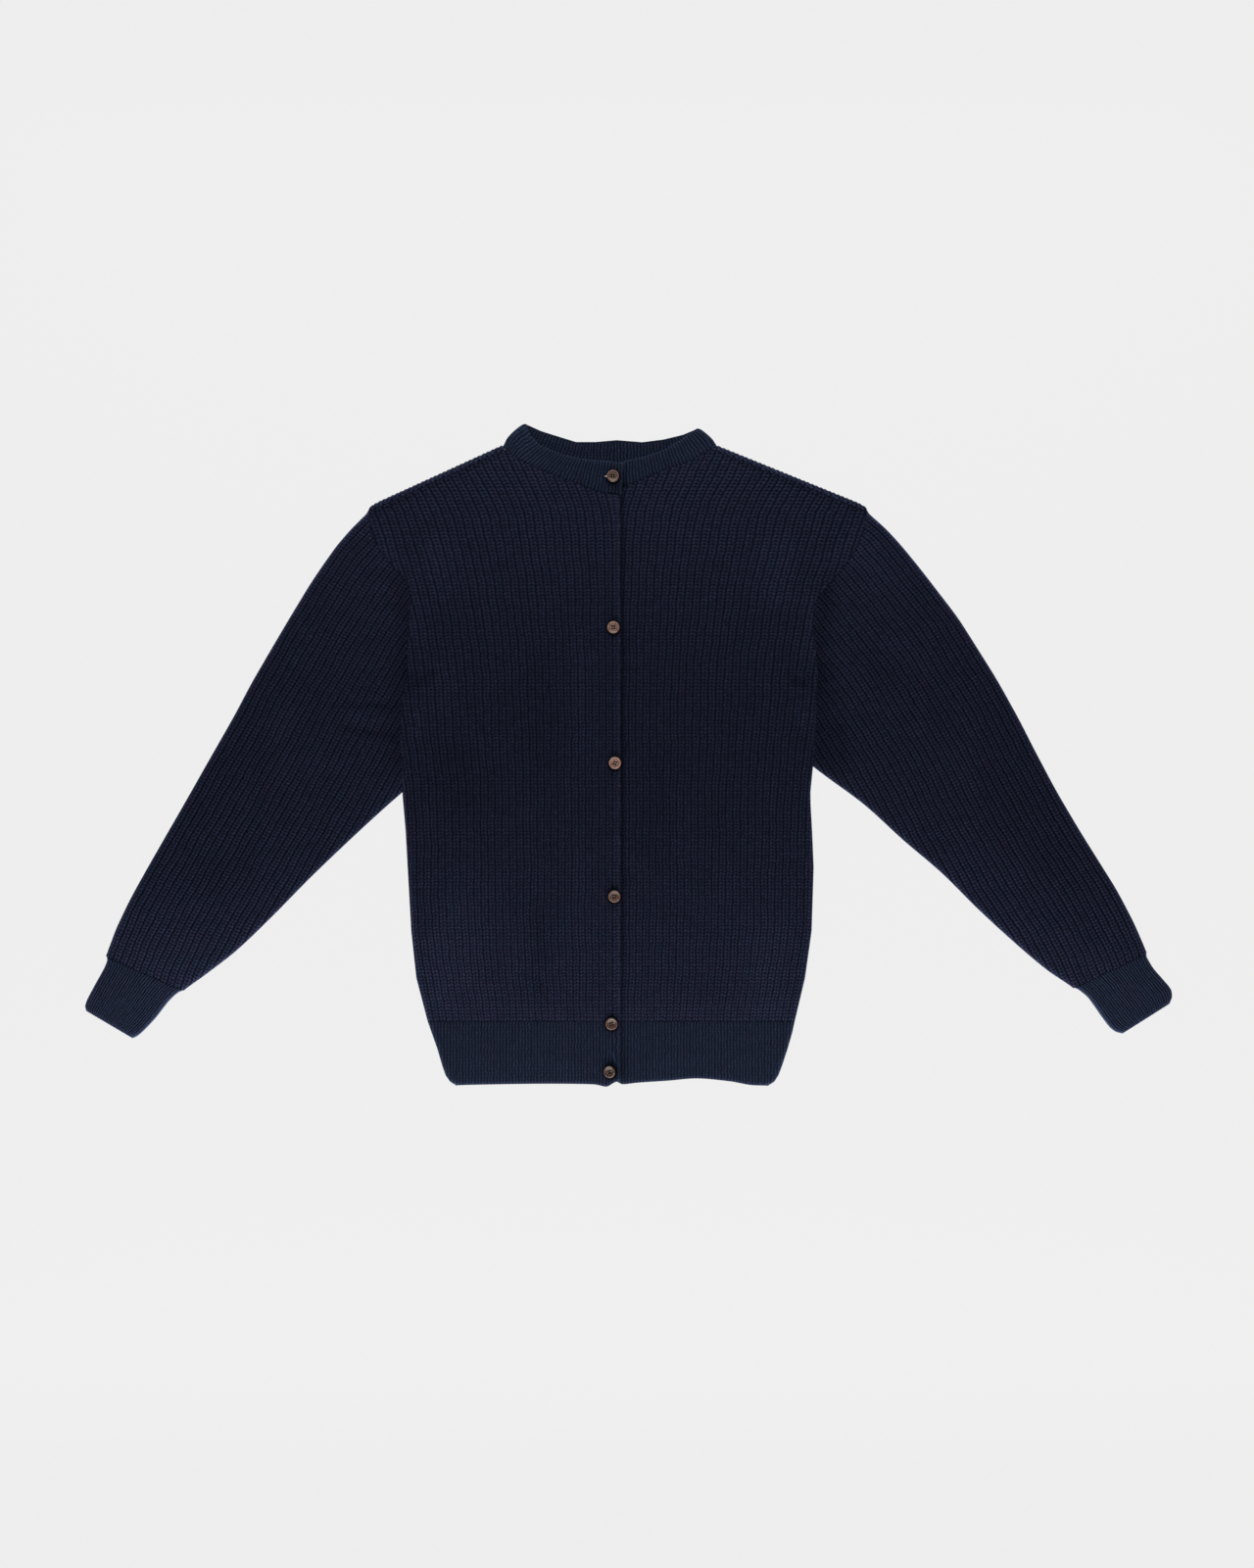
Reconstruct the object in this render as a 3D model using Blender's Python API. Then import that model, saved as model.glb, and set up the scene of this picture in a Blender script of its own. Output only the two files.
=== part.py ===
"""Merino cardigan, buttoned up and laid flat on its back.

Lengths are in millimetres until a mesh is made. x runs from the wearer's right sleeve to the left
one, y from the hem to the neck, and z up from the surface that the cardigan lies on. "Right" and
"left" are the wearer's. The back lies at the bottom, the fronts on it, and the right front laps
over the left one. Each sleeve and cuff is a tube pressed flat.
"""

import math
from collections import namedtuple

import bmesh
import bpy
import numpy as np

MILLIMETRE = 0.001
# Faces that meet at more than this many degrees keep a crisp edge, so that ribs show.
SHARP_ANGLE = 28.0

# Gaps between neighbouring pieces, and between the two layers of a tube that is pressed flat.
SEAM_GAP = 0.45
LAYER_GAP = 0.3

# Knitted walls: thickness at a groove between two ribs, and how far a rib stands above it.
BACK_WALL = 3.0
FRONT_WALL = 2.2
RIB_HEIGHT = 1.3
FRONT_FLOOR = BACK_WALL + LAYER_GAP

# A folded edge rounds down over this width to this much of the wall.
EDGE_ROUNDING = 3.5
EDGE_WALL = 1.0
# A column of points that comes nearer than this to an edge gathers in it.
EDGE_NEAR = 0.9
# Next to a seam the ribs sink to this share of their height, over this distance.
SEAM_SINK = 0.3
SEAM_WIDTH = 3.0

# Body. The ribs of one half are counted outwards from the edge strip of its opening.
BODY_RIBS = 29
HEM_SEAM = -261.0
MIDDLE = -16.1
RIGHT_OPENING_EDGE = -6.7
LEFT_OPENING_EDGE = -25.0
OPENING_EDGE_HEIGHT = 0.8
# The right front climbs over the left one's edge between these two places.
LAP_START = -41.0
LAP_END = -27.5
LAP_LIFT = FRONT_WALL + LAYER_GAP
# The left front stays plain where the right one covers it.
COVER_START = -4.0
COVER_END = 1.0
# Rows of the body above this height bend with the neckline and the shoulders.
BEND_START = 40.0

# Heights between which the ribs meet the upper edges.
TOP_SEARCH_FROM = 200.0
TOP_SEARCH_TO = 320.0

# The shoulder fold: the back turns over it and reaches this far onto the front.
FOLD_RADIUS = FRONT_FLOOR
SHOULDER_FOLD_ANGLES = (-45.0, 0.0, 45.0, 90.0)
LIP_REACH = 2.6
# The fold leaves this much room beside the neckband.
SHOULDER_ROOM = 1.5

# Side edges of the body, from the hem seam up to the shoulder tip.
SideRow = namedtuple("SideRow", "height right left")
BODY_SIDES = (
    SideRow(-261.0, -195.5, 164.5),
    SideRow(-219.0, -206.5, 174.5),
    SideRow(-173.0, -211.5, 181.0),
    SideRow(-111.0, -215.0, 183.0),
    SideRow(-75.0, -217.0, 181.5),
    SideRow(-40.0, -220.0, 179.5),
    SideRow(-10.0, -221.0, 182.5),
    SideRow(25.0, -222.0, 185.0),
    SideRow(48.0, -221.5, 185.5),
    SideRow(64.0, -218.5, 186.5),
    SideRow(79.0, -214.0, 187.0),
    SideRow(102.0, -215.5, 185.0),
    SideRow(124.0, -214.5, 181.5),
    SideRow(146.0, -212.0, 183.0),
    SideRow(156.0, -211.0, 188.0),
    SideRow(167.0, -214.0, 197.5),
    SideRow(180.0, -224.0, 209.0),
    SideRow(194.0, -238.0, 220.0),
    SideRow(208.0, -247.0, 227.5),
    SideRow(221.0, -251.5, 232.5),
    SideRow(240.0, -253.0, 235.0),
)

# How the body's ribs fan out: where the first groove lies on the right front, and the width of a
# rib beside the opening and at the side. The left front mirrors it about MIDDLE.
FanRow = namedtuple("FanRow", "height start near far")
RIB_FAN = (
    FanRow(-261.0, -14.4, 6.25, 6.25),
    FanRow(-163.0, -14.4, 6.6, 7.0),
    FanRow(-48.0, -14.4, 6.55, 7.3),
    FanRow(67.0, -14.4, 6.5, 8.4),
    FanRow(125.0, -14.4, 6.9, 8.6),
    FanRow(163.0, -14.4, 7.2, 9.0),
    FanRow(202.0, -14.4, 7.8, 9.3),
    FanRow(230.0, -15.8, 8.1, 9.6),
    FanRow(250.0, -20.0, 8.4, 9.7),
    FanRow(262.0, -24.0, 8.6, 9.8),
    FanRow(305.0, -38.0, 9.3, 10.3),
)

# Neck seams of the fronts and of the back, and where they reach the shoulder folds.
EdgePoint = namedtuple("EdgePoint", "x y")
RIGHT_FRONT_NECK = (
    EdgePoint(-110.5, 291.5),
    EdgePoint(-91.5, 281.5),
    EdgePoint(-75.0, 274.5),
    EdgePoint(-50.0, 265.5),
    EdgePoint(-27.0, 256.5),
    EdgePoint(-6.0, 253.5),
)
LEFT_FRONT_NECK = (
    EdgePoint(-26.0, 254.0),
    EdgePoint(-10.0, 258.5),
    EdgePoint(0.0, 263.0),
    EdgePoint(20.5, 271.5),
    EdgePoint(41.0, 280.0),
    EdgePoint(64.0, 288.0),
    EdgePoint(77.0, 293.0),
)
RIGHT_NECK_POINT = EdgePoint(-123.0, 303.0)
LEFT_NECK_POINT = EdgePoint(88.5, 303.0)
BACK_NECK = (
    EdgePoint(-96.0, 291.0),
    EdgePoint(-57.5, 281.5),
    EdgePoint(-33.0, 279.5),
    EdgePoint(-10.5, 279.0),
    EdgePoint(16.0, 280.5),
    EdgePoint(38.0, 282.5),
    EdgePoint(62.5, 291.0),
)

# Ribbed hem. Its ribs are counted outwards from the opening as the body's are.
# The ribs lean as they go down, the outermost one by this share.
HEM_RIBS = 31
HEM_RIB_WIDTH = 6.1
HEM_RIB_LEAN = 0.02
RIGHT_HEM_START = -14.6
LEFT_HEM_START = -17.6
HemSide = namedtuple("HemSide", "height right left")
HEM_SIDES = (
    HemSide(-261.0, -195.5, 164.5),
    HemSide(-272.5, -191.5, 162.0),
    HemSide(-288.0, -186.0, 157.5),
    HemSide(-303.5, -181.5, 152.5),
    HemSide(-314.0, -178.0, 148.5),
    HemSide(-320.5, -173.5, 144.5),
    HemSide(-324.5, -167.0, 138.0),
)
RIGHT_HEM_BOTTOM = (
    EdgePoint(-178.0, -324.5),
    EdgePoint(-150.0, -323.5),
    EdgePoint(-75.0, -322.5),
    EdgePoint(-32.0, -323.0),
    EdgePoint(-20.5, -325.0),
    EdgePoint(-10.5, -320.0),
    EdgePoint(-6.0, -319.5),
)
LEFT_HEM_BOTTOM = (
    EdgePoint(-26.0, -318.5),
    EdgePoint(-10.0, -320.0),
    EdgePoint(-4.5, -323.0),
    EdgePoint(10.0, -321.5),
    EdgePoint(40.0, -319.5),
    EdgePoint(68.0, -317.3),
    EdgePoint(100.0, -320.0),
    EdgePoint(125.0, -324.0),
    EdgePoint(150.0, -324.5),
)
BACK_HEM_BOTTOM = -316.0
BACK_HEM_INSET = 1.5

# Sleeves, in a frame of their own: along from the shoulder tip to the cuff, and across from the
# upper fold towards the underarm.
Limb = namedtuple("Limb", "shoulder_x shoulder_y along_x along_y across_x across_y")
SLEEVE_RIB = 7.35
SLEEVE_RIBS = 26
SLEEVE_GAP = 0.8
SLEEVE_OUT = 2.6
SLEEVE_UP = -4.1
RIGHT_SLEEVE_ANGLE = 59.5
LEFT_SLEEVE_ANGLE = 57.7
TUBE_WALL = 2.6
TUBE_FLOOR = TUBE_WALL + 0.6
# The flat tube's wall beside a fold, and how far from the fold the column lies that rounds it.
FOLD_WALL = 2.8
FOLD_CORNER = 0.9
# Distances along a sleeve between which its lines leave the body, and the step of the search.
SEARCH_FROM = -14.0
SEARCH_TO = 300.0
SEARCH_STEP = 0.1
# The wall left at an armhole seam and at a cuff's end.
ARMHOLE_WALL = 1.6
SleeveRow = namedtuple("SleeveRow", "along upper under")
RIGHT_SLEEVE = (
    SleeveRow(0.0, 0.0, 240.0),
    SleeveRow(24.0, -6.0, 232.0),
    SleeveRow(48.0, -9.8, 224.0),
    SleeveRow(96.0, -12.7, 208.0),
    SleeveRow(144.0, -13.1, 193.0),
    SleeveRow(192.0, -12.9, 177.5),
    SleeveRow(240.0, -11.1, 161.5),
    SleeveRow(288.0, -10.4, 147.0),
    SleeveRow(336.0, -9.6, 133.5),
    SleeveRow(384.0, -9.1, 121.5),
    SleeveRow(432.0, -8.2, 108.0),
    SleeveRow(470.0, -5.5, 93.0),
    SleeveRow(492.0, -2.0, 83.5),
    SleeveRow(503.0, 0.0, 80.0),
)
LEFT_SLEEVE = (
    SleeveRow(0.0, 0.0, 250.0),
    SleeveRow(24.0, -6.5, 240.0),
    SleeveRow(48.0, -10.6, 230.0),
    SleeveRow(96.0, -15.8, 210.0),
    SleeveRow(144.0, -19.2, 192.0),
    SleeveRow(192.0, -19.1, 174.5),
    SleeveRow(240.0, -17.0, 156.0),
    SleeveRow(288.0, -12.9, 142.8),
    SleeveRow(336.0, -9.6, 128.0),
    SleeveRow(384.0, -8.4, 117.0),
    SleeveRow(432.0, -8.2, 104.0),
    SleeveRow(470.0, -5.8, 92.0),
    SleeveRow(498.0, -2.0, 80.0),
    SleeveRow(509.0, 0.0, 76.0),
)
CUFF_SLANT = 0.12
SLEEVE_STEPS = (0.0, 0.02, 0.09, 0.18, 0.27, 0.36, 0.45, 0.54, 0.63, 0.72, 0.81, 0.9, 0.98, 1.0)

# Cuffs, in the sleeve's frame, as distances past the cuff seam.
CUFF_RIBS = 11
CuffRow = namedtuple("CuffRow", "past upper under")
RIGHT_CUFF = (
    CuffRow(0.0, 1.0, 82.5),
    CuffRow(4.0, 3.4, 79.0),
    CuffRow(14.0, 4.6, 75.5),
    CuffRow(30.0, 5.0, 73.0),
    CuffRow(44.0, 5.6, 69.5),
    CuffRow(52.0, 7.0, 66.5),
    CuffRow(56.0, 10.5, 63.5),
)
LEFT_CUFF = (
    CuffRow(0.0, 0.5, 78.5),
    CuffRow(4.0, 2.2, 75.5),
    CuffRow(14.0, 2.6, 72.0),
    CuffRow(30.0, 0.5, 71.0),
    CuffRow(42.0, -1.0, 70.0),
    CuffRow(49.0, 1.5, 67.5),
    CuffRow(54.0, 7.5, 62.5),
)

# Neckband: pairs of points where a rib leaves the neck seam and where it ends at the upper edge.
BAND_RIB = 6.5
BandRow = namedtuple("BandRow", "seam_x seam_y edge_x edge_y")
BAND_RIGHT = (
    BandRow(-5.0, 254.0, -2.8, 285.3),
    BandRow(-27.0, 256.5, -22.5, 287.7),
    BandRow(-50.0, 265.5, -42.0, 289.5),
    BandRow(-75.0, 274.5, -60.0, 293.0),
    BandRow(-91.5, 281.5, -73.0, 298.0),
    BandRow(-106.0, 289.0, -86.0, 303.5),
    BandRow(-114.0, 294.5, -93.5, 311.5),
    BandRow(-119.8, 300.0, -97.7, 322.8),
)
BAND_BACK = (
    BandRow(-119.8, 300.0, -97.7, 322.8),
    BandRow(-96.0, 291.0, -84.0, 317.0),
    BandRow(-57.5, 281.5, -50.0, 306.5),
    BandRow(-33.0, 279.5, -31.0, 306.5),
    BandRow(-10.5, 279.0, -10.0, 308.3),
    BandRow(16.0, 280.5, 15.0, 306.3),
    BandRow(38.0, 282.5, 36.0, 309.0),
    BandRow(62.5, 291.0, 55.0, 313.5),
    BandRow(86.4, 300.2, 67.0, 318.2),
)
BAND_LEFT = (
    BandRow(86.4, 300.2, 67.0, 318.2),
    BandRow(64.0, 288.0, 53.0, 308.5),
    BandRow(41.0, 280.0, 36.0, 298.5),
    BandRow(20.5, 271.5, 17.0, 292.0),
    BandRow(0.0, 263.0, 0.0, 288.5),
    BandRow(-10.0, 258.5, -10.0, 285.5),
    BandRow(-26.0, 254.0, -26.0, 283.0),
)
# Rows across the band as shares of its height, and the share of the wall that each row keeps.
BandStep = namedtuple("BandStep", "share wall")
BAND_STEPS = (
    BandStep(0.0, 0.5),
    BandStep(0.1, 1.0),
    BandStep(0.9, 1.0),
    BandStep(1.0, 0.55),
)
BAND_RIB_HEIGHT = 0.8
BAND_SEAM_GAP = 0.7
BAND_FOLD_ANGLES = (60.0, 20.0, -20.0, -60.0)

# The lower corner of the right front's hem curls up and tips the last button.
CURL_START_X = -30.0
CURL_REACH_X = 23.0
CURL_START_Y = -288.0
CURL_REACH_Y = 30.0
CURL_HEIGHT = 4.0

# Buttons: places on the right front, how far each is raised off the cloth and tipped, and the
# turned profile, as radius and height, that all six share.
ButtonRow = namedtuple("ButtonRow", "x y lift tilt")
BUTTONS = (
    ButtonRow(-13.8, 272.5, -0.4, 0.0),
    ButtonRow(-13.4, 124.5, 0.0, 0.0),
    ButtonRow(-11.8, -8.2, 0.0, 0.0),
    ButtonRow(-12.4, -138.8, 0.0, 0.0),
    ButtonRow(-15.2, -263.5, 0.0, 0.0),
    ButtonRow(-16.7, -310.2, 2.7, -11.0),
)
BUTTON_SEAT = FRONT_FLOOR + LAP_LIFT + FRONT_WALL + RIB_HEIGHT + LAYER_GAP
ProfileRow = namedtuple("ProfileRow", "radius height")
BUTTON_PROFILE = (
    ProfileRow(5.2, 0.0),
    ProfileRow(6.0, 0.8),
    ProfileRow(6.0, 1.7),
    ProfileRow(5.5, 2.4),
    ProfileRow(4.8, 2.5),
    ProfileRow(4.1, 1.9),
)
BUTTON_SIDES = 20
BUTTON_TURN = 20.0
BUTTON_HOLE = 0.65
HOLE_SPREAD = 1.75
HOLE_SIDES = 6
HOLE_DEPTH = 6.0

# The model's origin lies under the middle of its box.
ORIGIN_X = 1.638
ORIGIN_Y = -0.3435

Finish = namedtuple("Finish", "colour roughness sheen")
WOOL = Finish((0.0075, 0.0092, 0.0185, 1.0), 0.92, 0.25)
RIB_WOOL = Finish((0.0105, 0.0138, 0.0275, 1.0), 0.92, 0.25)
HORN = Finish((0.15, 0.085, 0.062, 1.0), 0.45, 0.0)

# A shoulder fold where it leaves the flat back: its tip, a place a little beyond the tip, its neck
# end, and the level direction out of the body.
Shoulder = namedtuple("Shoulder", "tip beyond foot outward")
BEYOND_TIP = 0.05


def column(table, name):
    """Return one named column of a table as an array."""
    return np.array([getattr(row, name) for row in table])


def read_straight(table, key, name, at):
    """Read a column of a table at the keys asked for, straight between its rows."""
    keys = column(table, key)
    order = np.argsort(keys)
    return np.interp(at, keys[order], column(table, name)[order])


def read_smooth(table, key, name, at):
    """Read a column of a table along a smooth curve that never overshoots its rows."""
    keys = column(table, key)
    values = column(table, name)
    step = np.diff(keys)
    rise = np.diff(values) / step
    slope = np.concatenate(([rise[0]], np.zeros(len(rise) - 1), [rise[-1]]))
    same_way = rise[:-1] * rise[1:] > 0.0
    blend = 2.0 * rise[:-1] * rise[1:] / np.where(same_way, rise[:-1] + rise[1:], 1.0)
    slope[1:-1] = np.where(same_way, blend, 0.0)
    at = np.clip(at, keys[0], keys[-1])
    row = np.clip(np.searchsorted(keys, at, side="right") - 1, 0, len(step) - 1)
    share = (at - keys[row]) / step[row]
    rest = 1.0 - share
    return (
        values[row] * rest**2 * (1.0 + 2.0 * share)
        + values[row + 1] * share**2 * (3.0 - 2.0 * share)
        + slope[row] * step[row] * share * rest**2
        - slope[row + 1] * step[row] * share**2 * rest
    )


def ease(value):
    """Rise smoothly from 0 to 1 while the value goes from 0 to 1."""
    value = np.clip(value, 0.0, 1.0)
    return value * value * (3.0 - 2.0 * value)


def rounding(distance):
    """Rise as a quarter circle does, from 0 at a folded edge to 1 at the rounding's width."""
    share = np.clip(distance / EDGE_ROUNDING, 0.0, 1.0)
    return np.sqrt(1.0 - (1.0 - share) ** 2)


def rib_height(rib):
    """Return 0 at a groove, where the rib count is whole, and 1 halfway between two grooves."""
    return 0.5 - 0.5 * np.cos(2.0 * math.pi * rib)


def stack(x, y, z):
    """Stack three arrays of the same shape, or that spread to it, into points."""
    return np.stack(np.broadcast_arrays(x, y, z), axis=-1)


def side_sign(side_name):
    """Return the direction of a side of the body along x."""
    return -1.0 if side_name == "right" else 1.0


def new_material(name, finish):
    """Make the plain material of one piece."""
    material = bpy.data.materials.new(name)
    material.use_nodes = True
    shader = material.node_tree.nodes["Principled BSDF"]
    shader.inputs["Base Color"].default_value = finish.colour
    shader.inputs["Roughness"].default_value = finish.roughness
    shader.inputs["Metallic"].default_value = 0.0
    shader.inputs["Sheen Weight"].default_value = finish.sheen
    return material


def new_object(name, mesh):
    """Put a mesh into the scene under a name."""
    piece = bpy.data.objects.new(name, mesh)
    bpy.context.scene.collection.objects.link(piece)
    return piece


def new_mesh(name, points, faces, finish):
    """Make a smooth mesh with outward faces from points in millimetres."""
    mesh = bpy.data.meshes.new(name)
    mesh.from_pydata((np.asarray(points) * MILLIMETRE).tolist(), [], faces)
    shape = bmesh.new()
    shape.from_mesh(mesh)
    loose = [vertex for vertex in shape.verts if not vertex.link_faces]
    bmesh.ops.delete(shape, geom=loose, context="VERTS")
    bmesh.ops.recalc_face_normals(shape, faces=shape.faces)
    shape.to_mesh(mesh)
    shape.free()
    mesh.materials.append(new_material(name, finish))
    mesh.shade_smooth()
    mesh.set_sharp_from_angle(angle=math.radians(SHARP_ANGLE))
    return mesh


def wall(name, finish, outer, inner, tube=False, keep=None):
    """Close a cloth wall between an outer and an inner grid of points, rows by columns.

    A tube joins its last column to its first. Cells that the keep grid leaves out are open, and
    columns that meet in one point are merged.
    """
    rows, columns = outer.shape[:2]
    number = np.arange(rows * columns).reshape(rows, columns)
    cells = []
    for row in range(rows - 1):
        for first in range(columns if tube else columns - 1):
            second = (first + 1) % columns
            if keep is None or keep[row, first]:
                cells.append((number[row, first], number[row, second],
                              number[row + 1, second], number[row + 1, first]))
    edges = {(cell[i], cell[(i + 1) % 4]) for cell in cells for i in range(4)}
    inside = rows * columns
    faces = list(cells)
    faces += [tuple(corner + inside for corner in reversed(cell)) for cell in cells]
    faces += [(end, start, start + inside, end + inside)
              for start, end in sorted(edges) if (end, start) not in edges]
    points = np.concatenate((outer.reshape(-1, 3), inner.reshape(-1, 3)))
    points = points - np.array([ORIGIN_X, ORIGIN_Y, 0.0])
    merged, index = np.unique(np.round(points, 4), axis=0, return_inverse=True)
    index = index.reshape(-1)
    whole = []
    for face in faces:
        corners = [int(index[corner]) for corner in face]
        corners = [c for i, c in enumerate(corners) if c != corners[i - 1]]
        if len(set(corners)) > 2:
            whole.append(corners)
    return new_object(name, new_mesh(name, merged, whole, finish))


def shoulder(side_name):
    """Return the places and the direction that describe one shoulder fold."""
    row = BODY_SIDES[-1]
    tip = np.array([getattr(row, side_name), row.height])
    neck = np.array(RIGHT_NECK_POINT if side_name == "right" else LEFT_NECK_POINT)
    run = neck - tip
    outward = np.array([-run[1], run[0]]) / np.linalg.norm(run)
    if outward[1] < 0.0:
        outward = -outward
    foot = neck - FOLD_RADIUS * outward
    return Shoulder(tip, tip + (tip - foot) * BEYOND_TIP, foot, outward)


def front_top(side_name):
    """Return a front's upper edge: its neck seam, and its shoulder seam beside the back's lip."""
    fold = shoulder(side_name)
    inward = (LIP_REACH + SEAM_GAP) * fold.outward
    neck = RIGHT_FRONT_NECK if side_name == "right" else LEFT_FRONT_NECK
    return (EdgePoint(*(fold.beyond - inward)), EdgePoint(*(fold.foot - inward)), *neck)


def rib_reach(rib, height):
    """Return how far a rib's line is from the first groove at the heights asked for."""
    near = read_smooth(RIB_FAN, "height", "near", height)
    far = read_smooth(RIB_FAN, "height", "far", height)
    return near * rib + (far - near) * rib * rib / (2.0 * BODY_RIBS)


def rib_line(rib, height, side):
    """Return x of a rib's line on one front at the heights asked for."""
    start = read_smooth(RIB_FAN, "height", "start", height)
    return MIDDLE + side * (rib_reach(rib, height) + MIDDLE - start)


def top_crossing(line, top):
    """Return the height at which a line, a function of height, first meets an upper edge."""
    heights = np.arange(TOP_SEARCH_FROM, TOP_SEARCH_TO, SEARCH_STEP)
    above = heights - read_straight(top, "x", "y", line(heights))
    row = int(np.argmax(above > 0.0))
    return heights[row] - above[row] * (heights[row] - heights[row - 1]) / (above[row] - above[row - 1])


def edge_points(side_name, tip_height):
    """Return x and y of a side edge of the body at each row, from the hem seam to the tip."""
    y = column(BODY_SIDES, "height")
    y = np.concatenate(([HEM_SEAM + SEAM_GAP, HEM_SEAM + SEAM_WIDTH], y[1:-1],
                        [tip_height - SEAM_WIDTH, tip_height]))
    return read_straight(BODY_SIDES, "height", side_name, y), y


def body_grid(side_name, lines, top):
    """Return x, y and the distance to the side edge for columns that follow the given lines.

    Rows are level at the hem and bend until the last one runs along the upper edge. Columns that
    reach the side edge gather in one point of it.
    """
    side = side_sign(side_name)
    tops = np.array([top_crossing(line, top) for line in lines])
    tip_height = top_crossing(lambda height: read_straight(BODY_SIDES, "height", side_name, height), top)
    edge_x, edge_y = edge_points(side_name, tip_height)
    bend = ease((edge_y - BEND_START) / (tip_height - BEND_START))
    y = edge_y[:, None] + bend[:, None] * (tops - tip_height)[None, :]
    y[-2] = y[-1] - SEAM_WIDTH
    x = np.stack([line(y[:, index]) for index, line in enumerate(lines)], axis=1)
    limit = read_straight(BODY_SIDES, "height", side_name, y)
    past = side * (limit - x) < EDGE_NEAR
    x = np.where(past, edge_x[:, None], x)
    y = np.where(past, edge_y[:, None], y)
    return x, y, np.abs(x - edge_x[:, None])


def lap_lift(x):
    """Return how far the right front is raised where it lies over the left one."""
    return LAP_LIFT * ease((x - LAP_START) / (LAP_END - LAP_START))


def uncovered(x):
    """Return 0 where the right front hides the left one and 1 where it shows."""
    return ease((x - COVER_START) / (COVER_END - COVER_START))


def corner_curl(x, y):
    """Return how far the lower corner of the right front's hem curls up."""
    across = ease((x - CURL_START_X) / CURL_REACH_X)
    return CURL_HEIGHT * across * ease((CURL_START_Y - y) / CURL_REACH_Y)


def front_relief(rib):
    """Return the relief of the ribs, and of the smooth edge strip where the rib count is negative."""
    strip = np.where(rib > -0.99, OPENING_EDGE_HEIGHT, 0.0)
    return np.where(rib < 0.0, strip, rib_height(rib))


def front_wall(name, finish, side_name, x, y, ribs, edge, curl):
    """Raise a wall with ribs on the points of a front or of its hem."""
    relief = np.ones_like(x) * front_relief(ribs)[None, :]
    relief[0] *= SEAM_SINK
    relief[-1] *= SEAM_SINK
    floor = FRONT_FLOOR + curl
    if side_name == "right":
        floor = floor + lap_lift(x)
    else:
        relief = relief * uncovered(x)
    full = FRONT_WALL + RIB_HEIGHT * relief
    height = EDGE_WALL + (full - EDGE_WALL) * rounding(edge)
    return wall(name, finish, stack(x, y, floor + height), stack(x, y, floor))


def half_ribs(count):
    """Return the rib counts of a front's columns: the edge strip, then each groove and crest."""
    return np.concatenate(([-1.0, -0.75, -0.2], np.arange(0.0, count + 0.25, 0.5)))


def build_front(side_name):
    """Build one front: its ribs fan from the hem seam to the neck and shoulder seams."""
    side = side_sign(side_name)
    opening = RIGHT_OPENING_EDGE if side_name == "right" else LEFT_OPENING_EDGE
    ribs = half_ribs(BODY_RIBS)

    def line_of(rib):
        """Return the line of a rib, or of a share of the edge strip, as a function of height."""
        def line(height):
            """Return x at the heights asked for."""
            start = rib_line(max(rib, 0.0), height, side)
            return start - min(rib, 0.0) * (opening - start)
        return line

    x, y, edge = body_grid(side_name, [line_of(rib) for rib in ribs], front_top(side_name))
    return front_wall("front_" + side_name, WOOL, side_name, x, y, ribs, edge, np.zeros_like(x))


def build_back():
    """Build the back: a flat panel that turns over each shoulder and ends in a lip on the front."""
    half_steps = np.arange(0.5, BODY_RIBS + 0.25, 0.5)
    folds = {name: shoulder(name) for name in ("right", "left")}
    halves = []
    counts = []
    for side_name, fold in folds.items():
        side = side_sign(side_name)
        other = folds["left" if side_name == "right" else "right"]
        top = (EdgePoint(*fold.beyond), EdgePoint(*fold.foot), *BACK_NECK, EdgePoint(*other.foot))
        end = fold.foot[0] + side * SHOULDER_ROOM
        end_height = read_straight(top, "x", "y", end)
        end_rib = np.interp(side * (end - MIDDLE), rib_reach(half_steps, end_height), half_steps)
        ribs = np.sort(np.append(half_steps, end_rib))
        lines = [lambda height, rib=rib, side=side: MIDDLE + side * rib_reach(rib, height)
                 for rib in ribs]
        halves.append(body_grid(side_name, lines, top))
        counts.append(ribs)
    x, y, edge = (np.concatenate((right[:, ::-1], left), axis=1) for right, left in zip(*halves))
    outer = [stack(x, y, (BACK_WALL - EDGE_WALL) * (1.0 - rounding(edge)))]
    inner = [stack(x, y, BACK_WALL)]

    count = len(half_steps) + 1
    way = np.repeat([folds["right"].outward, folds["left"].outward], count, axis=0)
    crest = OPENING_EDGE_HEIGHT * rib_height(np.concatenate((counts[0][::-1], counts[1])))
    crest = crest * (edge[-1] > EDGE_ROUNDING)
    for angle in np.radians(SHOULDER_FOLD_ANGLES):
        radius = FOLD_RADIUS - LAYER_GAP + crest * max(0.0, math.cos(angle))
        for grid, reach in ((outer, radius), (inner, np.full_like(radius, LAYER_GAP))):
            grid.append(stack(x[-1] + way[:, 0] * reach * math.cos(angle),
                              y[-1] + way[:, 1] * reach * math.cos(angle),
                              FOLD_RADIUS + reach * math.sin(angle))[None])
    for grid, height in ((outer, 2.0 * FOLD_RADIUS - LAYER_GAP), (inner, FOLD_RADIUS + LAYER_GAP)):
        grid.append(stack(x[-1] - LIP_REACH * way[:, 0], y[-1] - LIP_REACH * way[:, 1], height)[None])
    outer = np.concatenate(outer)
    inner = np.concatenate(inner)
    on_right = x[-1] < folds["right"].foot[0] - SHOULDER_ROOM / 2.0
    on_left = x[-1] > folds["left"].foot[0] + SHOULDER_ROOM / 2.0
    keep = np.ones((len(outer) - 1, 2 * count - 1), dtype=bool)
    keep[len(y) - 1:] = (on_right[:-1] & on_right[1:]) | (on_left[:-1] & on_left[1:])
    return wall("back", WOOL, outer, inner, keep=keep)


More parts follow.
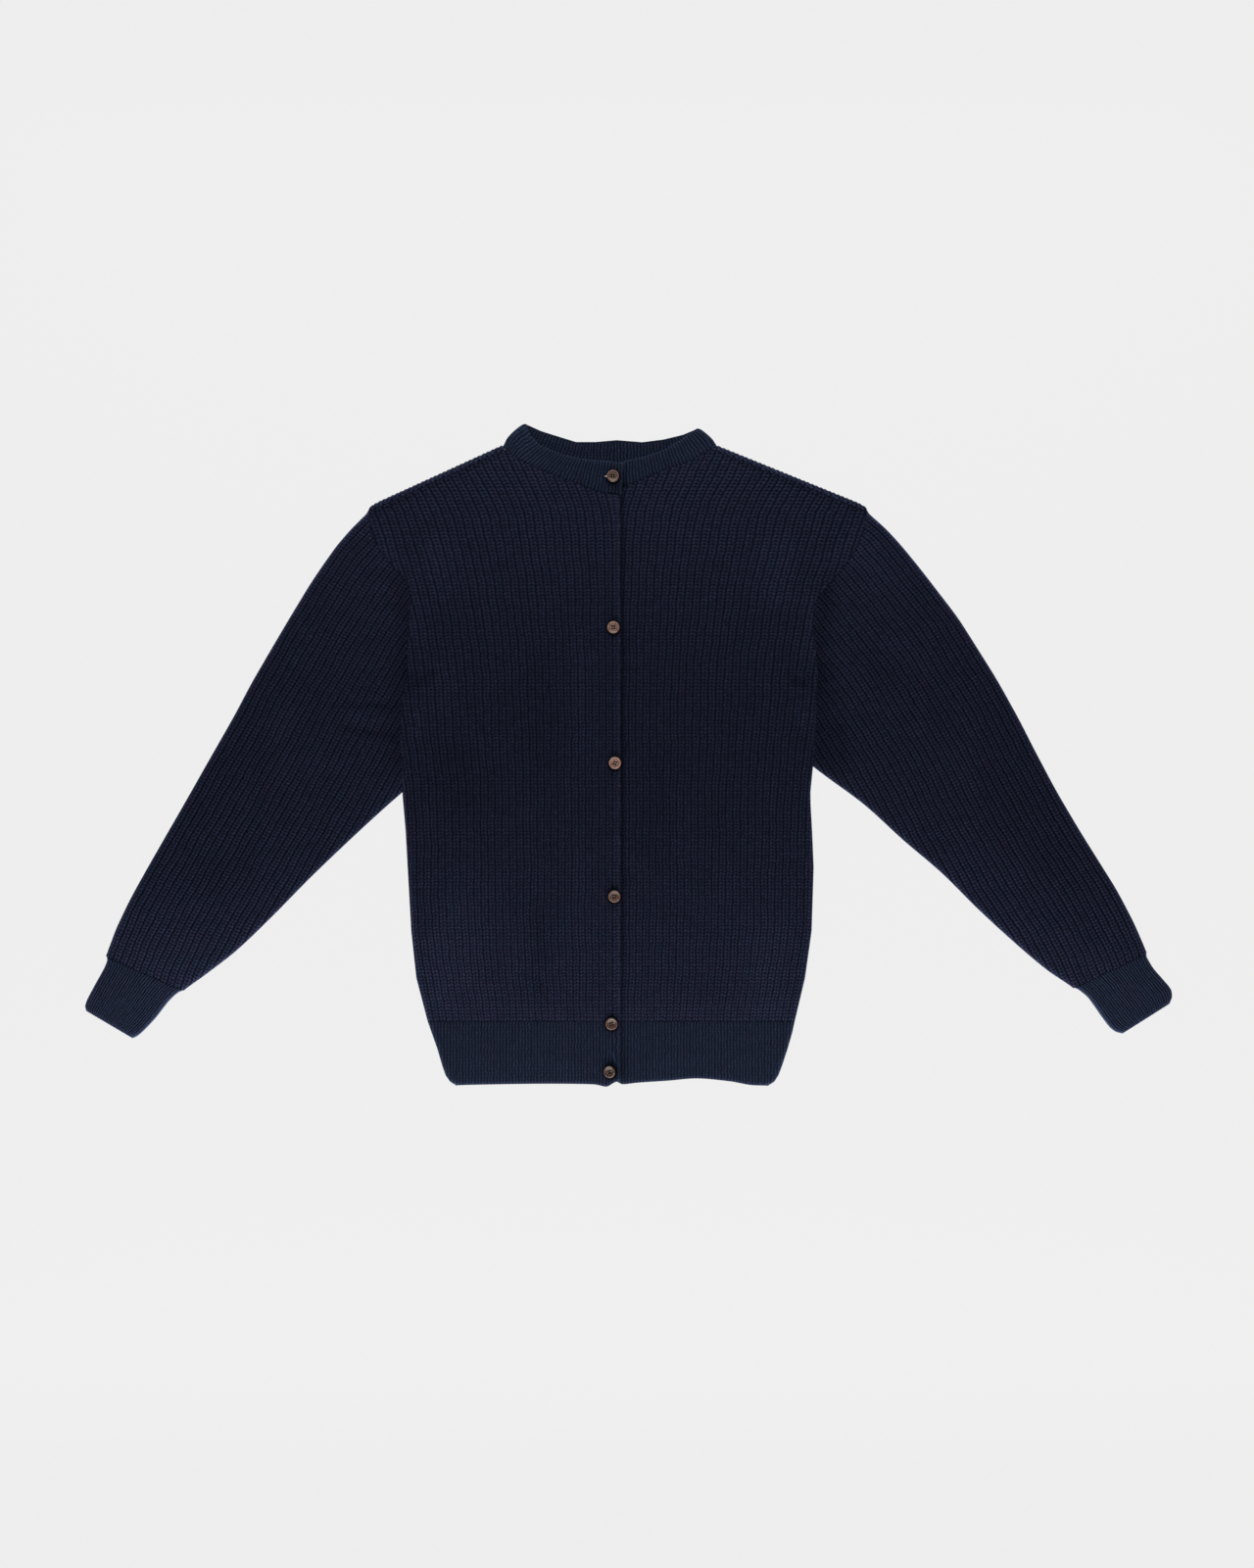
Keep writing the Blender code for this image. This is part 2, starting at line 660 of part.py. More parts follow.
def build_front_hem(side_name):
    """Build the ribbed hem of one front, whose ribs run straight down and end at its side."""
    side = side_sign(side_name)
    right = side_name == "right"
    opening = RIGHT_OPENING_EDGE if right else LEFT_OPENING_EDGE
    start = RIGHT_HEM_START if right else LEFT_HEM_START
    ribs = half_ribs(HEM_RIBS)
    heights = column(HEM_SIDES, "height")
    edge_x = column(HEM_SIDES, side_name)
    edge_y = heights.copy()
    edge_y[0] -= SEAM_GAP
    lines = np.where(ribs < 0.0, start - ribs * (opening - start), start + side * ribs * HEM_RIB_WIDTH)
    lean = side * HEM_RIB_LEAN * np.maximum(ribs, 0.0) / HEM_RIBS
    x = lines[None, :] + lean[None, :] * (heights - HEM_SEAM)[:, None]
    low = read_straight(RIGHT_HEM_BOTTOM if right else LEFT_HEM_BOTTOM, "x", "y", x[-1])
    share = (heights - heights[0]) / (heights[-1] - heights[0])
    y = edge_y[0] + share[:, None] * (low - edge_y[0])[None, :]
    limit = read_straight(HEM_SIDES, "height", side_name, y)
    past = side * (limit - x) < EDGE_NEAR
    x = np.where(past, edge_x[:, None], x)
    y = np.where(past, edge_y[:, None], y)
    curl = corner_curl(x, y) if right else np.zeros_like(x)
    name = "front_" + side_name + "_hem_rib"
    return front_wall(name, RIB_WOOL, side_name, x, y, ribs, np.abs(x - edge_x[:, None]), curl)


def build_back_hem():
    """Build the ribbed hem of the back, which ends a little above the fronts' hems."""
    heights = column(HEM_SIDES, "height")
    share = (heights - heights[0]) / (heights[-1] - heights[0])
    top = HEM_SEAM - SEAM_GAP
    y = top + share * (BACK_HEM_BOTTOM - top)
    right = read_straight(HEM_SIDES, "height", "right", y) + BACK_HEM_INSET * share
    left = read_straight(HEM_SIDES, "height", "left", y) - BACK_HEM_INSET * share
    inset = np.array([0.0, EDGE_NEAR, EDGE_ROUNDING])
    x = np.concatenate((right[:, None] + inset, left[:, None] - inset[::-1]), axis=1)
    edge = np.minimum(x - right[:, None], left[:, None] - x)
    low = (BACK_WALL - EDGE_WALL) * (1.0 - rounding(edge))
    return wall("back_hem_rib", RIB_WOOL, stack(x, y[:, None], low), stack(x, y[:, None], BACK_WALL))


def sleeve_limb(side_name):
    """Return a sleeve's own frame: its shoulder point and its along and across directions."""
    side = side_sign(side_name)
    fold = shoulder(side_name)
    start = fold.tip + np.array([side * SLEEVE_OUT, SLEEVE_UP])
    angle = math.radians(RIGHT_SLEEVE_ANGLE if side_name == "right" else LEFT_SLEEVE_ANGLE)
    along = np.array([side * math.cos(angle), -math.sin(angle)])
    across = np.array([-side * math.sin(angle), -math.cos(angle)])
    return Limb(*start, *along, *across)


def from_limb(limb, along, across, z):
    """Turn distances in a sleeve's frame into points at a height."""
    x = limb.shoulder_x + along * limb.along_x + across * limb.across_x
    y = limb.shoulder_y + along * limb.along_y + across * limb.across_y
    return stack(x, y, z)


def armhole_start(limb, side_name, line):
    """Return how far along the sleeve each line starts, just clear of the body's side edge.

    The line is a function that turns distances along the sleeve into distances across it.
    """
    side = side_sign(side_name)
    fold = shoulder(side_name)
    beyond = fold.tip + 2.0 * FOLD_RADIUS * fold.outward
    edge_x = np.append(column(BODY_SIDES, side_name), beyond[0])
    edge_y = np.append(column(BODY_SIDES, "height"), beyond[1])
    along = np.arange(SEARCH_FROM, SEARCH_TO, SEARCH_STEP)[:, None]
    points = from_limb(limb, along, line(along), 0.0)
    limit = np.interp(points[..., 1], edge_y, edge_x)
    slope = np.interp(points[..., 1], edge_y, np.gradient(edge_x, edge_y))
    clearance = SLEEVE_GAP * np.sqrt(1.0 + slope**2)
    inside = side * (limit - points[..., 0]) > -clearance
    last = len(along) - 1 - np.argmax(inside[::-1], axis=0)
    return along[last, 0]


def sleeve_grid(limb, table, side_name, offsets, inset):
    """Return along and across for lines at offsets from the upper fold, and where they are past
    the underarm fold. Lines that come within the inset of that fold gather there, row by row.
    """
    def line(along):
        """Return across for each of the lines."""
        return offsets + read_smooth(table, "along", "upper", along)

    def under_lines(along):
        """Return across for the underarm fold and for the line an inset away from it."""
        return read_smooth(table, "along", "under", along) - np.array([0.0, inset])

    start = armhole_start(limb, side_name, line)
    end = table[-1].along - CUFF_SLANT * offsets - SEAM_GAP
    along = start + np.array(SLEEVE_STEPS)[:, None] * (end - start)
    across = line(along)
    room = read_smooth(table, "along", "under", along) - inset - across
    past = np.maximum.accumulate(room < EDGE_NEAR / 2.0, axis=1)
    rows = np.arange(len(SLEEVE_STEPS))
    first = np.argmax(past, axis=1)
    share = room[rows, first - 1] / (room[rows, first - 1] - room[rows, first])
    run = along[rows, first] - along[rows, first - 1]
    meet_along = along[rows, first - 1] + share * run
    slant = run / (across[rows, first] - across[rows, first - 1])
    fold_along = meet_along + slant * inset
    fold_along[0], meet_along[0] = armhole_start(limb, side_name, under_lines)
    meet_across = read_smooth(table, "along", "under", meet_along) - inset
    along = np.where(past, meet_along[:, None], along)
    across = np.where(past, meet_across[:, None], across)
    fold = (fold_along, read_smooth(table, "along", "under", fold_along))
    return along, across, past, fold


def flat_tube(name, finish, limb, outer, inner, fold, top, bottom):
    """Close a tube that is pressed flat.

    Outer and inner hold along and across of the columns on its upper side, from the upper fold to
    the underarm fold, which has its own points. The lower side has the same columns.
    """
    outer_along = np.concatenate((outer[0], fold[0][:, None], outer[0][:, :0:-1]), axis=1)
    outer_across = np.concatenate((outer[1], fold[1][:, None], outer[1][:, :0:-1]), axis=1)
    middle = np.full_like(fold[0], TUBE_FLOOR)[:, None]
    outer_z = np.concatenate((top, middle, bottom[:, :0:-1]), axis=1)
    inner_along = np.concatenate((inner[0], inner[0][:, -1:], inner[0][:, :0:-1]), axis=1)
    inner_across = np.concatenate((inner[1], inner[1][:, -1:], inner[1][:, :0:-1]), axis=1)
    inner_z = np.full_like(outer_z, TUBE_WALL)
    inner_z[:, :top.shape[1]] = TUBE_FLOOR
    return wall(name, finish, from_limb(limb, outer_along, outer_across, outer_z),
                from_limb(limb, inner_along, inner_across, inner_z), tube=True)


def tube_heights(fold_distance, relief, end_wall):
    """Return the heights of a flat tube's upper and lower sides."""
    full = FRONT_WALL + RIB_HEIGHT * relief
    full = np.where(end_wall > 0.0, end_wall, full)
    top = TUBE_FLOOR + full * rounding(fold_distance)
    return top, TUBE_FLOOR * (1.0 - rounding(fold_distance))


def build_sleeve(side_name):
    """Build one sleeve: a flattened tube from the armhole seam to the cuff seam."""
    table = RIGHT_SLEEVE if side_name == "right" else LEFT_SLEEVE
    limb = sleeve_limb(side_name)
    ribs = np.concatenate(([0.0, FOLD_CORNER / SLEEVE_RIB], np.arange(0.5, SLEEVE_RIBS + 0.25, 0.5)))
    offsets = ribs * SLEEVE_RIB
    along, across, past, fold = sleeve_grid(limb, table, side_name, offsets, FOLD_CORNER)
    inner = sleeve_grid(limb, table, side_name, np.maximum(offsets, FOLD_WALL), FOLD_WALL)
    upper = across - read_smooth(table, "along", "upper", along)
    under = read_smooth(table, "along", "under", along) - across
    relief = np.where(past, 0.0, rib_height(ribs))
    relief[:, 1] = 0.0
    relief[-1] *= SEAM_SINK
    end_wall = np.zeros_like(along)
    end_wall[0] = ARMHOLE_WALL
    top, bottom = tube_heights(np.minimum(upper, under), relief, end_wall)
    return flat_tube("sleeve_" + side_name, WOOL, limb, (along, across), inner[:2], fold, top, bottom)


def build_cuff(side_name):
    """Build one ribbed cuff: a flattened tube whose ribs close in from the seam to the end."""
    table = RIGHT_CUFF if side_name == "right" else LEFT_CUFF
    limb = sleeve_limb(side_name)
    length = (RIGHT_SLEEVE if side_name == "right" else LEFT_SLEEVE)[-1].along
    past = column(table, "past")[:, None]
    upper = column(table, "upper")[:, None]
    under = column(table, "under")[:, None]
    ribs = np.concatenate(([0.0], np.arange(0.0, CUFF_RIBS + 0.25, 0.5)))

    def grid(inset):
        """Return along and across of columns that stay an inset away from both folds."""
        across = upper + inset + (under - upper - 2.0 * inset) * ribs / CUFF_RIBS
        return along_of(across), across

    def along_of(across):
        """Return how far along each point lies: the seam is slanted and the end is square."""
        slant = CUFF_SLANT * across * (1.0 - past / past[-1])
        return length + SEAM_GAP * (1.0 - past / past[-1]) + past - slant

    along, across = grid(FOLD_CORNER)
    across[:, :1] = upper
    along[:, :1] = along_of(upper)
    fold = (along_of(under)[:, 0], under[:, 0])
    relief = np.repeat(rib_height(ribs)[None, :], len(table), axis=0)
    relief[0] *= SEAM_SINK
    relief[-1] *= SEAM_SINK
    end_wall = np.zeros_like(along)
    end_wall[-1] = ARMHOLE_WALL
    distance = np.minimum(across - upper, under - across)
    top, bottom = tube_heights(distance, relief, end_wall)
    return flat_tube("cuff_" + side_name, RIB_WOOL, limb, (along, across), grid(FOLD_WALL), fold,
                     top, bottom)


def band_span(table):
    """Return seam points, edge points and rib counts of one stretch of the neckband."""
    seam = stack(column(table, "seam_x"), column(table, "seam_y"), 0.0)
    edge = stack(column(table, "edge_x"), column(table, "edge_y"), 0.0)
    steps = np.linalg.norm(np.diff((seam + edge) / 2.0, axis=0), axis=1)
    travelled = np.concatenate(([0.0], np.cumsum(steps)))
    count = round(travelled[-1] / BAND_RIB)
    ribs = np.arange(0.0, count + 0.25, 0.5)
    at = ribs / count * travelled[-1]
    seam, edge = (np.stack([np.interp(at, travelled, points[:, axis]) for axis in range(3)], axis=1)
                  for points in (seam, edge))
    return seam, edge, ribs


def band_points(seam, edge):
    """Return points at each of the band's steps from just off the seam to the upper edge."""
    rise = edge - seam
    start = seam + rise * BAND_SEAM_GAP / np.linalg.norm(rise, axis=1, keepdims=True)
    share = column(BAND_STEPS, "share")[:, None, None]
    return start[None] + share * (edge - start)[None]


def band_front(table, lapped):
    """Return the outer and inner points of a front stretch, which lies on the upper layer."""
    seam, edge, ribs = band_span(table)
    points = band_points(seam, edge)
    keep = column(BAND_STEPS, "wall")[:, None]
    relief = rib_height(ribs)[None, :] * np.ones_like(points[..., 0])
    floor = FRONT_FLOOR + (lap_lift(points[..., 0]) if lapped else 0.0)
    if not lapped:
        relief = relief * uncovered(points[..., 0])
    height = (FRONT_WALL + BAND_RIB_HEIGHT * relief) * keep
    return (stack(points[..., 0], points[..., 1], floor + height),
            stack(points[..., 0], points[..., 1], floor))


def band_back(table):
    """Return the outer and inner points of the back stretch, whose inner side looks up."""
    seam, edge, ribs = band_span(table)
    points = band_points(seam, edge)
    keep = column(BAND_STEPS, "wall")[:, None]
    near_end = np.clip(1.0 - np.minimum(ribs, ribs[-1] - ribs), 0.0, 1.0)
    relief = np.maximum(rib_height(ribs), near_end)[None, :]
    low = (1.0 - keep) * np.ones_like(relief)
    high = BACK_WALL - BAND_RIB_HEIGHT * (1.0 - relief) - 0.5 * (1.0 - keep)
    return stack(points[..., 0], points[..., 1], low), stack(points[..., 0], points[..., 1], high)


def band_fold(row, angles):
    """Return the outer and inner points of a fold at the side of the neck."""
    seam = np.array([[row.seam_x, row.seam_y, 0.0]])
    edge = np.array([[row.edge_x, row.edge_y, 0.0]])
    points = band_points(seam, edge)
    rise = (edge - seam)[0]
    outward = np.array([-rise[1], rise[0]]) / np.linalg.norm(rise)
    if outward[1] < 0.0:
        outward = -outward
    keep = column(BAND_STEPS, "wall")[:, None]
    angles = np.radians(angles)[None, :]
    middle = (FRONT_FLOOR + BACK_WALL) / 2.0
    inner = LAYER_GAP / 2.0 * np.ones_like(keep * angles)
    full = middle - inner - (BACK_WALL - FRONT_WALL) * (1.0 + np.sin(angles)) / 2.0
    grids = []
    for radius in (inner + full * (1.0 + keep) / 2.0, inner):
        reach = radius * np.cos(angles)
        grids.append(stack(points[..., 0] + outward[0] * reach, points[..., 1] + outward[1] * reach,
                           middle + radius * np.sin(angles)))
    return tuple(grids)


def build_neckband():
    """Build the neckband: one strip round the neck that folds at each side and laps in front."""
    stretches = (
        band_front(BAND_RIGHT, lapped=True),
        band_fold(BAND_BACK[0], BAND_FOLD_ANGLES),
        band_back(BAND_BACK),
        band_fold(BAND_BACK[-1], BAND_FOLD_ANGLES[::-1]),
        band_front(BAND_LEFT, lapped=False),
    )
    outer, inner = (np.concatenate(grids, axis=1) for grids in zip(*stretches))
    return wall("neckband", RIB_WOOL, outer, inner)


def turned(profile, sides):
    """Return points and faces of a closed turned body whose ends are flat."""
    angles = np.arange(sides) * 2.0 * math.pi / sides
    points = [stack(row.radius * np.cos(angles), row.radius * np.sin(angles), row.height)
              for row in profile]
    faces = [tuple(range(sides)), tuple((len(profile) - 1) * sides + i for i in range(sides))]
    for ring in range(len(profile) - 1):
        for i in range(sides):
            j = (i + 1) % sides
            faces.append((ring * sides + i, ring * sides + j,
                          (ring + 1) * sides + j, (ring + 1) * sides + i))
    return np.concatenate(points), faces


def button_mesh():
    """Make the mesh that all buttons share: a dished disc with a rim and four sewing holes."""
    button = new_object("button", new_mesh("button", *turned(BUTTON_PROFILE, BUTTON_SIDES), HORN))
    drill = (ProfileRow(BUTTON_HOLE, -HOLE_DEPTH / 2.0), ProfileRow(BUTTON_HOLE, HOLE_DEPTH / 2.0))
    helpers = [button]
    for quarter in range(4):
        angle = math.radians(45.0 + 90.0 * quarter + BUTTON_TURN)
        cutter = new_object("drill", new_mesh("drill", *turned(drill, HOLE_SIDES), HORN))
        cutter.location = (HOLE_SPREAD * math.cos(angle) * MILLIMETRE,
                           HOLE_SPREAD * math.sin(angle) * MILLIMETRE, 0.0)
        cutter.hide_render = True
        cutter.display_type = "WIRE"
        cut = button.modifiers.new("hole", "BOOLEAN")
        cut.operation = "DIFFERENCE"
        cut.object = cutter
        helpers.append(cutter)
    graph = bpy.context.evaluated_depsgraph_get()
    mesh = bpy.data.meshes.new_from_object(button.evaluated_get(graph))
    mesh.name = "button"
    for helper in helpers:
        bpy.data.objects.remove(helper, do_unlink=True)
    return mesh


def build_buttons():
    """Put the six buttons on the right front, the last one tipped by the curled corner."""
    mesh = button_mesh()
    for number, row in enumerate(BUTTONS, start=1):
        button = new_object(f"button_{number}", mesh)
        button.location = ((row.x - ORIGIN_X) * MILLIMETRE, (row.y - ORIGIN_Y) * MILLIMETRE,
                           (BUTTON_SEAT + row.lift) * MILLIMETRE)
        button.rotation_euler = (0.0, math.radians(row.tilt), 0.0)


def main():
    """Build every piece of the cardigan."""
    for existing in list(bpy.data.objects):
        bpy.data.objects.remove(existing, do_unlink=True)
    build_back()
    build_back_hem()
    for side_name in ("right", "left"):
        build_front(side_name)
        build_front_hem(side_name)
        build_sleeve(side_name)
        build_cuff(side_name)
    build_neckband()
    build_buttons()


main()
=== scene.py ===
"""Looks of a ribbed wool cardigan, buttoned up and laid flat on its back.

Lengths are in millimetres until a mesh is made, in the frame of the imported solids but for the
origin's offset. x runs from the wearer's right sleeve to the left one, y from the hem to the neck,
and z up from the surface. Every knitted piece is a shell on a grid of stitches: a column for each
groove, wall and leg of a rib, and a row for each half course. The shells are closed, but for some
small open edges in the sleeves and cuffs. In the sleeves three or more faces share some edges.
"""

import logging
import math
from dataclasses import dataclass, replace
from enum import Enum
from typing import Callable, NamedTuple, Optional, Sequence, TypeVar, Union

import bmesh
import bpy
import numpy as np
from bpy.types import Material, Mesh, Node, NodeSocket, NodeTree, Object
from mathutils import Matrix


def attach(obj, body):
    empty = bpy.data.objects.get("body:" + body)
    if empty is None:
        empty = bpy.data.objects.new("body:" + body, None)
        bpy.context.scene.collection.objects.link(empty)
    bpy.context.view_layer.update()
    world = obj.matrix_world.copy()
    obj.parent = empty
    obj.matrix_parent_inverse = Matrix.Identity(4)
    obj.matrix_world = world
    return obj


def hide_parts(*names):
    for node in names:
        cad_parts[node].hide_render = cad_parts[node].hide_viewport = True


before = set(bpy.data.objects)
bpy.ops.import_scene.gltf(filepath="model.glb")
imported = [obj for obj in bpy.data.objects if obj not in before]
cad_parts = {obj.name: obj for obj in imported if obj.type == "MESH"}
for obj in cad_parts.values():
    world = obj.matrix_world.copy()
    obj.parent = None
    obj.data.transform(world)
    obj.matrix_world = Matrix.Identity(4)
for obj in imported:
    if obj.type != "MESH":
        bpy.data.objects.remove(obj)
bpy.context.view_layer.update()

log = logging.getLogger("cardigan")

Array = np.ndarray
Amount = Union[float, Array]
Colour = tuple[float, float, float, float]
Chosen = TypeVar("Chosen")

BODY = "root"
MILLIMETRE = 0.001
ORIGIN = np.array([1.638, -0.3435, 0.0])
# Points nearer to each other than this are one.
WELD = 1e-4
WHITE = (1.0, 1.0, 1.0, 1.0)
STITCH_MAP = "stitch"
# Painted light and shade, a factor on the wool's colour, is kept in this attribute.
PAINTED_LIGHT = "painted_light"

# Knitting: the height of one course, and where the columns of points stand in one rib.
COURSE = 3.3
RIB_SHARES = (0.0, 0.11, 0.26, 0.5, 0.74, 0.89)
LEG = 0.26
STEPS_PER_RIB = len(RIB_SHARES)
# Coarse points on the hidden sides: one for so many rows of the shown side.
COARSE_ROWS = 8

# Cloth never lies quite even: how far its slow swings push the ribs aside and lift the cloth.
WANDER = 0.75
UNEVEN = 0.25
HEM_BEAD = 0.3
HEM_RISE = 1.3
# Height above the hem seam over which the body's ribs sink to the hem's.
HEM_FADE = 26.0
CUFF_RISE = 0.75
# Painted shade that a trough of one millimetre puts on the yarn's colour.
CREASE_SHADE_SHARE = 0.24
# How far the painted sheen of a folded edge's fuzz reaches in.
SHEEN_WIDTH = 2.8
# How much lighter a sleeve is painted towards its cuff, as painted light.
CUFFWARD_LIGHT = 0.22
# The left sleeve has only this share of it.
LEFT_CUFFWARD_SHARE = 0.25
# How far from the cuff seam it starts.
CUFFWARD_REACH = 120.0
# Cloth within this distance of an edge or a seam is held by it and stays even.
LOOSE_REACH = 14.0
# A trough never leaves the wall thinner than this.
THINNEST_WALL = 0.4

# Gaps between layers, and the thickness of the walls.
SEAM_GAP = 0.02
LAYER_GAP = 0.3
BACK_WALL = 3.0
FRONT_WALL = 2.2
GROOVE_WALL = 1.5
RIB_RISE = 2.0
FRONT_FLOOR = BACK_WALL + LAYER_GAP
EDGE_ROUNDING = 4.0
EDGE_WALL = 1.0
EDGE_NEAR = 0.5
SEAM_SINK = 0.99
SEAM_WIDTH = 3.0
# Width of the painted light line beside the seam of a hem or a cuff.
SEAM_LIGHT_LINE = 1.6

# Body.
BODY_RIBS = 29
HEM_SEAM = -261.0
UNDERARM = -10.0
MIDDLE = -16.1
RIGHT_OPENING_EDGE = -6.7
LEFT_OPENING_EDGE = -25.0
LAP_START = -41.0
LAP_END = -27.5
LAP_LIFT = FRONT_WALL + LAYER_GAP
COVER_START = -4.5
COVER_END = 0.5
BEND_START = 40.0
TOP_SEARCH_FROM = 200.0
TOP_SEARCH_TO = 320.0
SEARCH_STEP = 0.1

# Shoulder fold.
FOLD_RADIUS = FRONT_FLOOR
LIP_REACH = 2.6
SHOULDER_LAP = 0.9
FOLD_WALL_AROUND = 2.8
FOLD_SCALLOP = 0.9
TIP_TAPER = 14.0
# How far past its tip a shoulder's line is drawn, as a share of its length.
TIP_OVERRUN = 0.05
# Share of their height that the ribs keep on the lip.
LIP_RISE = 0.55625


class SideRow(NamedTuple):
    """Side edges of the body at one height."""

    height: float
    right: float
    left: float


class FanRow(NamedTuple):
    """The ribs' fan at one height: first groove, and a rib's width near the opening and far."""

    height: float
    start: float
    near: float
    far: float


class EdgePoint(NamedTuple):
    """One point of an edge or a seam."""

    x: float
    y: float


class SleeveRow(NamedTuple):
    """Folds of a sleeve, as distances across it, at one distance along it."""

    along: float
    upper: float
    under: float


class CuffRow(NamedTuple):
    """Folds of a cuff at one distance past its seam."""

    past: float
    upper: float
    under: float


class BandRow(NamedTuple):
    """A rib of the neckband, from the neck seam to the upper edge."""

    seam_x: float
    seam_y: float
    edge_x: float
    edge_y: float


class ButtonRow(NamedTuple):
    """Place, lift and tilt of a button, and its own tone and turn."""

    x: float
    y: float
    lift: float
    tilt: float
    tone: float
    turn: float


class ProfileRow(NamedTuple):
    """One ring of a turned profile."""

    radius: float
    height: float


class Crease(NamedTuple):
    """A soft trough or ridge between two points of the cloth."""

    x0: float
    y0: float
    x1: float
    y1: float
    width: float
    height: float


class Swell(NamedTuple):
    """A place where an edge swells outwards, its direction, and the bell's height and width."""

    x: float
    y: float
    way_x: float
    way_y: float
    height: float
    width: float


class Swing(NamedTuple):
    """A slow wave in the cloth: its length, its direction in degrees and its shift."""

    length: float
    angle: float
    shift: float


class Lamp(NamedTuple):
    """A broad lamp: its place, its width and depth in metres, and its power in watts."""

    name: str
    y: float
    z: float
    width: float
    depth: float
    power: float


SWINGS = (
    Swing(71.0, 12.0, 0.4),
    Swing(43.0, 63.0, 2.1),
    Swing(97.0, -38.0, 4.0),
    Swing(31.0, -9.0, 1.2),
    Swing(56.0, 96.0, 5.3),
)
BODY_SIDES = (
    SideRow(-261.0, -195.5, 164.5),
    SideRow(-219.0, -206.5, 174.5),
    SideRow(-173.0, -211.5, 181.0),
    SideRow(-111.0, -215.0, 183.0),
    SideRow(-75.0, -217.0, 181.5),
    SideRow(-40.0, -220.0, 179.5),
    SideRow(-10.0, -221.0, 182.5),
    SideRow(25.0, -222.0, 185.0),
    SideRow(48.0, -221.5, 185.5),
    SideRow(64.0, -218.5, 186.5),
    SideRow(79.0, -214.0, 187.0),
    SideRow(102.0, -215.5, 185.0),
    SideRow(124.0, -214.5, 181.5),
    SideRow(146.0, -212.0, 183.0),
    SideRow(156.0, -211.0, 188.0),
    SideRow(167.0, -214.0, 197.5),
    SideRow(180.0, -224.0, 209.0),
    SideRow(194.0, -238.0, 220.0),
    SideRow(208.0, -247.0, 227.5),
    SideRow(221.0, -251.5, 232.5),
    SideRow(240.0, -253.0, 235.0),
)
RIB_FAN = (
    FanRow(-261.0, -14.4, 6.25, 6.25),
    FanRow(-163.0, -14.4, 6.6, 7.0),
    FanRow(-48.0, -14.4, 6.55, 7.3),
    FanRow(67.0, -14.4, 6.5, 8.4),
    FanRow(125.0, -14.4, 6.9, 8.6),
    FanRow(163.0, -14.4, 7.2, 9.0),
    FanRow(202.0, -14.4, 7.8, 9.3),
    FanRow(230.0, -15.8, 8.1, 9.6),
    FanRow(250.0, -20.0, 8.4, 9.7),
    FanRow(262.0, -24.0, 8.6, 9.8),
    FanRow(305.0, -38.0, 9.3, 10.3),
)
RIGHT_FRONT_NECK = (
    EdgePoint(-120.35, 300.3),
    EdgePoint(-114.0, 294.3),
    EdgePoint(-106.0, 288.9),
    EdgePoint(-91.5, 281.5),
    EdgePoint(-75.0, 274.5),
    EdgePoint(-50.0, 265.5),
    EdgePoint(-27.0, 256.5),
    EdgePoint(-6.0, 253.5),
)
LEFT_FRONT_NECK = (
    EdgePoint(-26.0, 254.0),
    EdgePoint(-10.0, 258.5),
    EdgePoint(0.0, 263.0),
    EdgePoint(20.5, 271.5),
    EdgePoint(41.0, 280.0),
    EdgePoint(64.0, 288.0),
    EdgePoint(86.05, 300.3),
)
RIGHT_NECK_POINT = EdgePoint(-123.0, 303.0)
LEFT_NECK_POINT = EdgePoint(88.5, 303.0)
BACK_NECK = (
    EdgePoint(-96.0, 291.0),
    EdgePoint(-57.5, 281.5),
    EdgePoint(-33.0, 279.5),
    EdgePoint(-10.5, 279.0),
    EdgePoint(16.0, 280.5),
    EdgePoint(38.0, 282.5),
    EdgePoint(62.5, 291.0),
)

# Ribbed hem.
HEM_RIBS = 31
HEM_RIB_WIDTH = 6.1
HEM_RIB_LEAN = 0.02
RIGHT_HEM_START = -14.6
LEFT_HEM_START = -17.6
HEM_COURSES = 19
HEM_SIDES = (
    SideRow(-261.0, -195.5, 164.5),
    SideRow(-272.5, -191.5, 162.0),
    SideRow(-288.0, -186.0, 157.5),
    SideRow(-303.5, -181.5, 152.5),
    SideRow(-314.0, -178.0, 148.5),
    SideRow(-320.5, -173.5, 144.5),
    SideRow(-324.5, -167.0, 138.0),
)
RIGHT_HEM_BOTTOM = (
    EdgePoint(-178.0, -324.5),
    EdgePoint(-150.0, -323.5),
    EdgePoint(-75.0, -322.5),
    EdgePoint(-32.0, -323.0),
    EdgePoint(-20.5, -325.0),
    EdgePoint(-10.5, -320.0),
    EdgePoint(-6.0, -319.5),
)
LEFT_HEM_BOTTOM = (
    EdgePoint(-26.0, -318.5),
    EdgePoint(-10.0, -320.0),
    EdgePoint(-4.5, -323.0),
    EdgePoint(10.0, -321.5),
    EdgePoint(40.0, -319.5),
    EdgePoint(68.0, -317.3),
    EdgePoint(100.0, -320.0),
    EdgePoint(125.0, -324.0),
    EdgePoint(150.0, -324.5),
)
BACK_HEM_BOTTOM = -316.0
BACK_HEM_INSET = 1.5
# How far its ribs stand out underneath, its thinnest wall, and the step down at its end.
BACK_HEM_RISE = 0.6
BACK_HEM_WALL = 0.8
BACK_HEM_STEP = 0.8

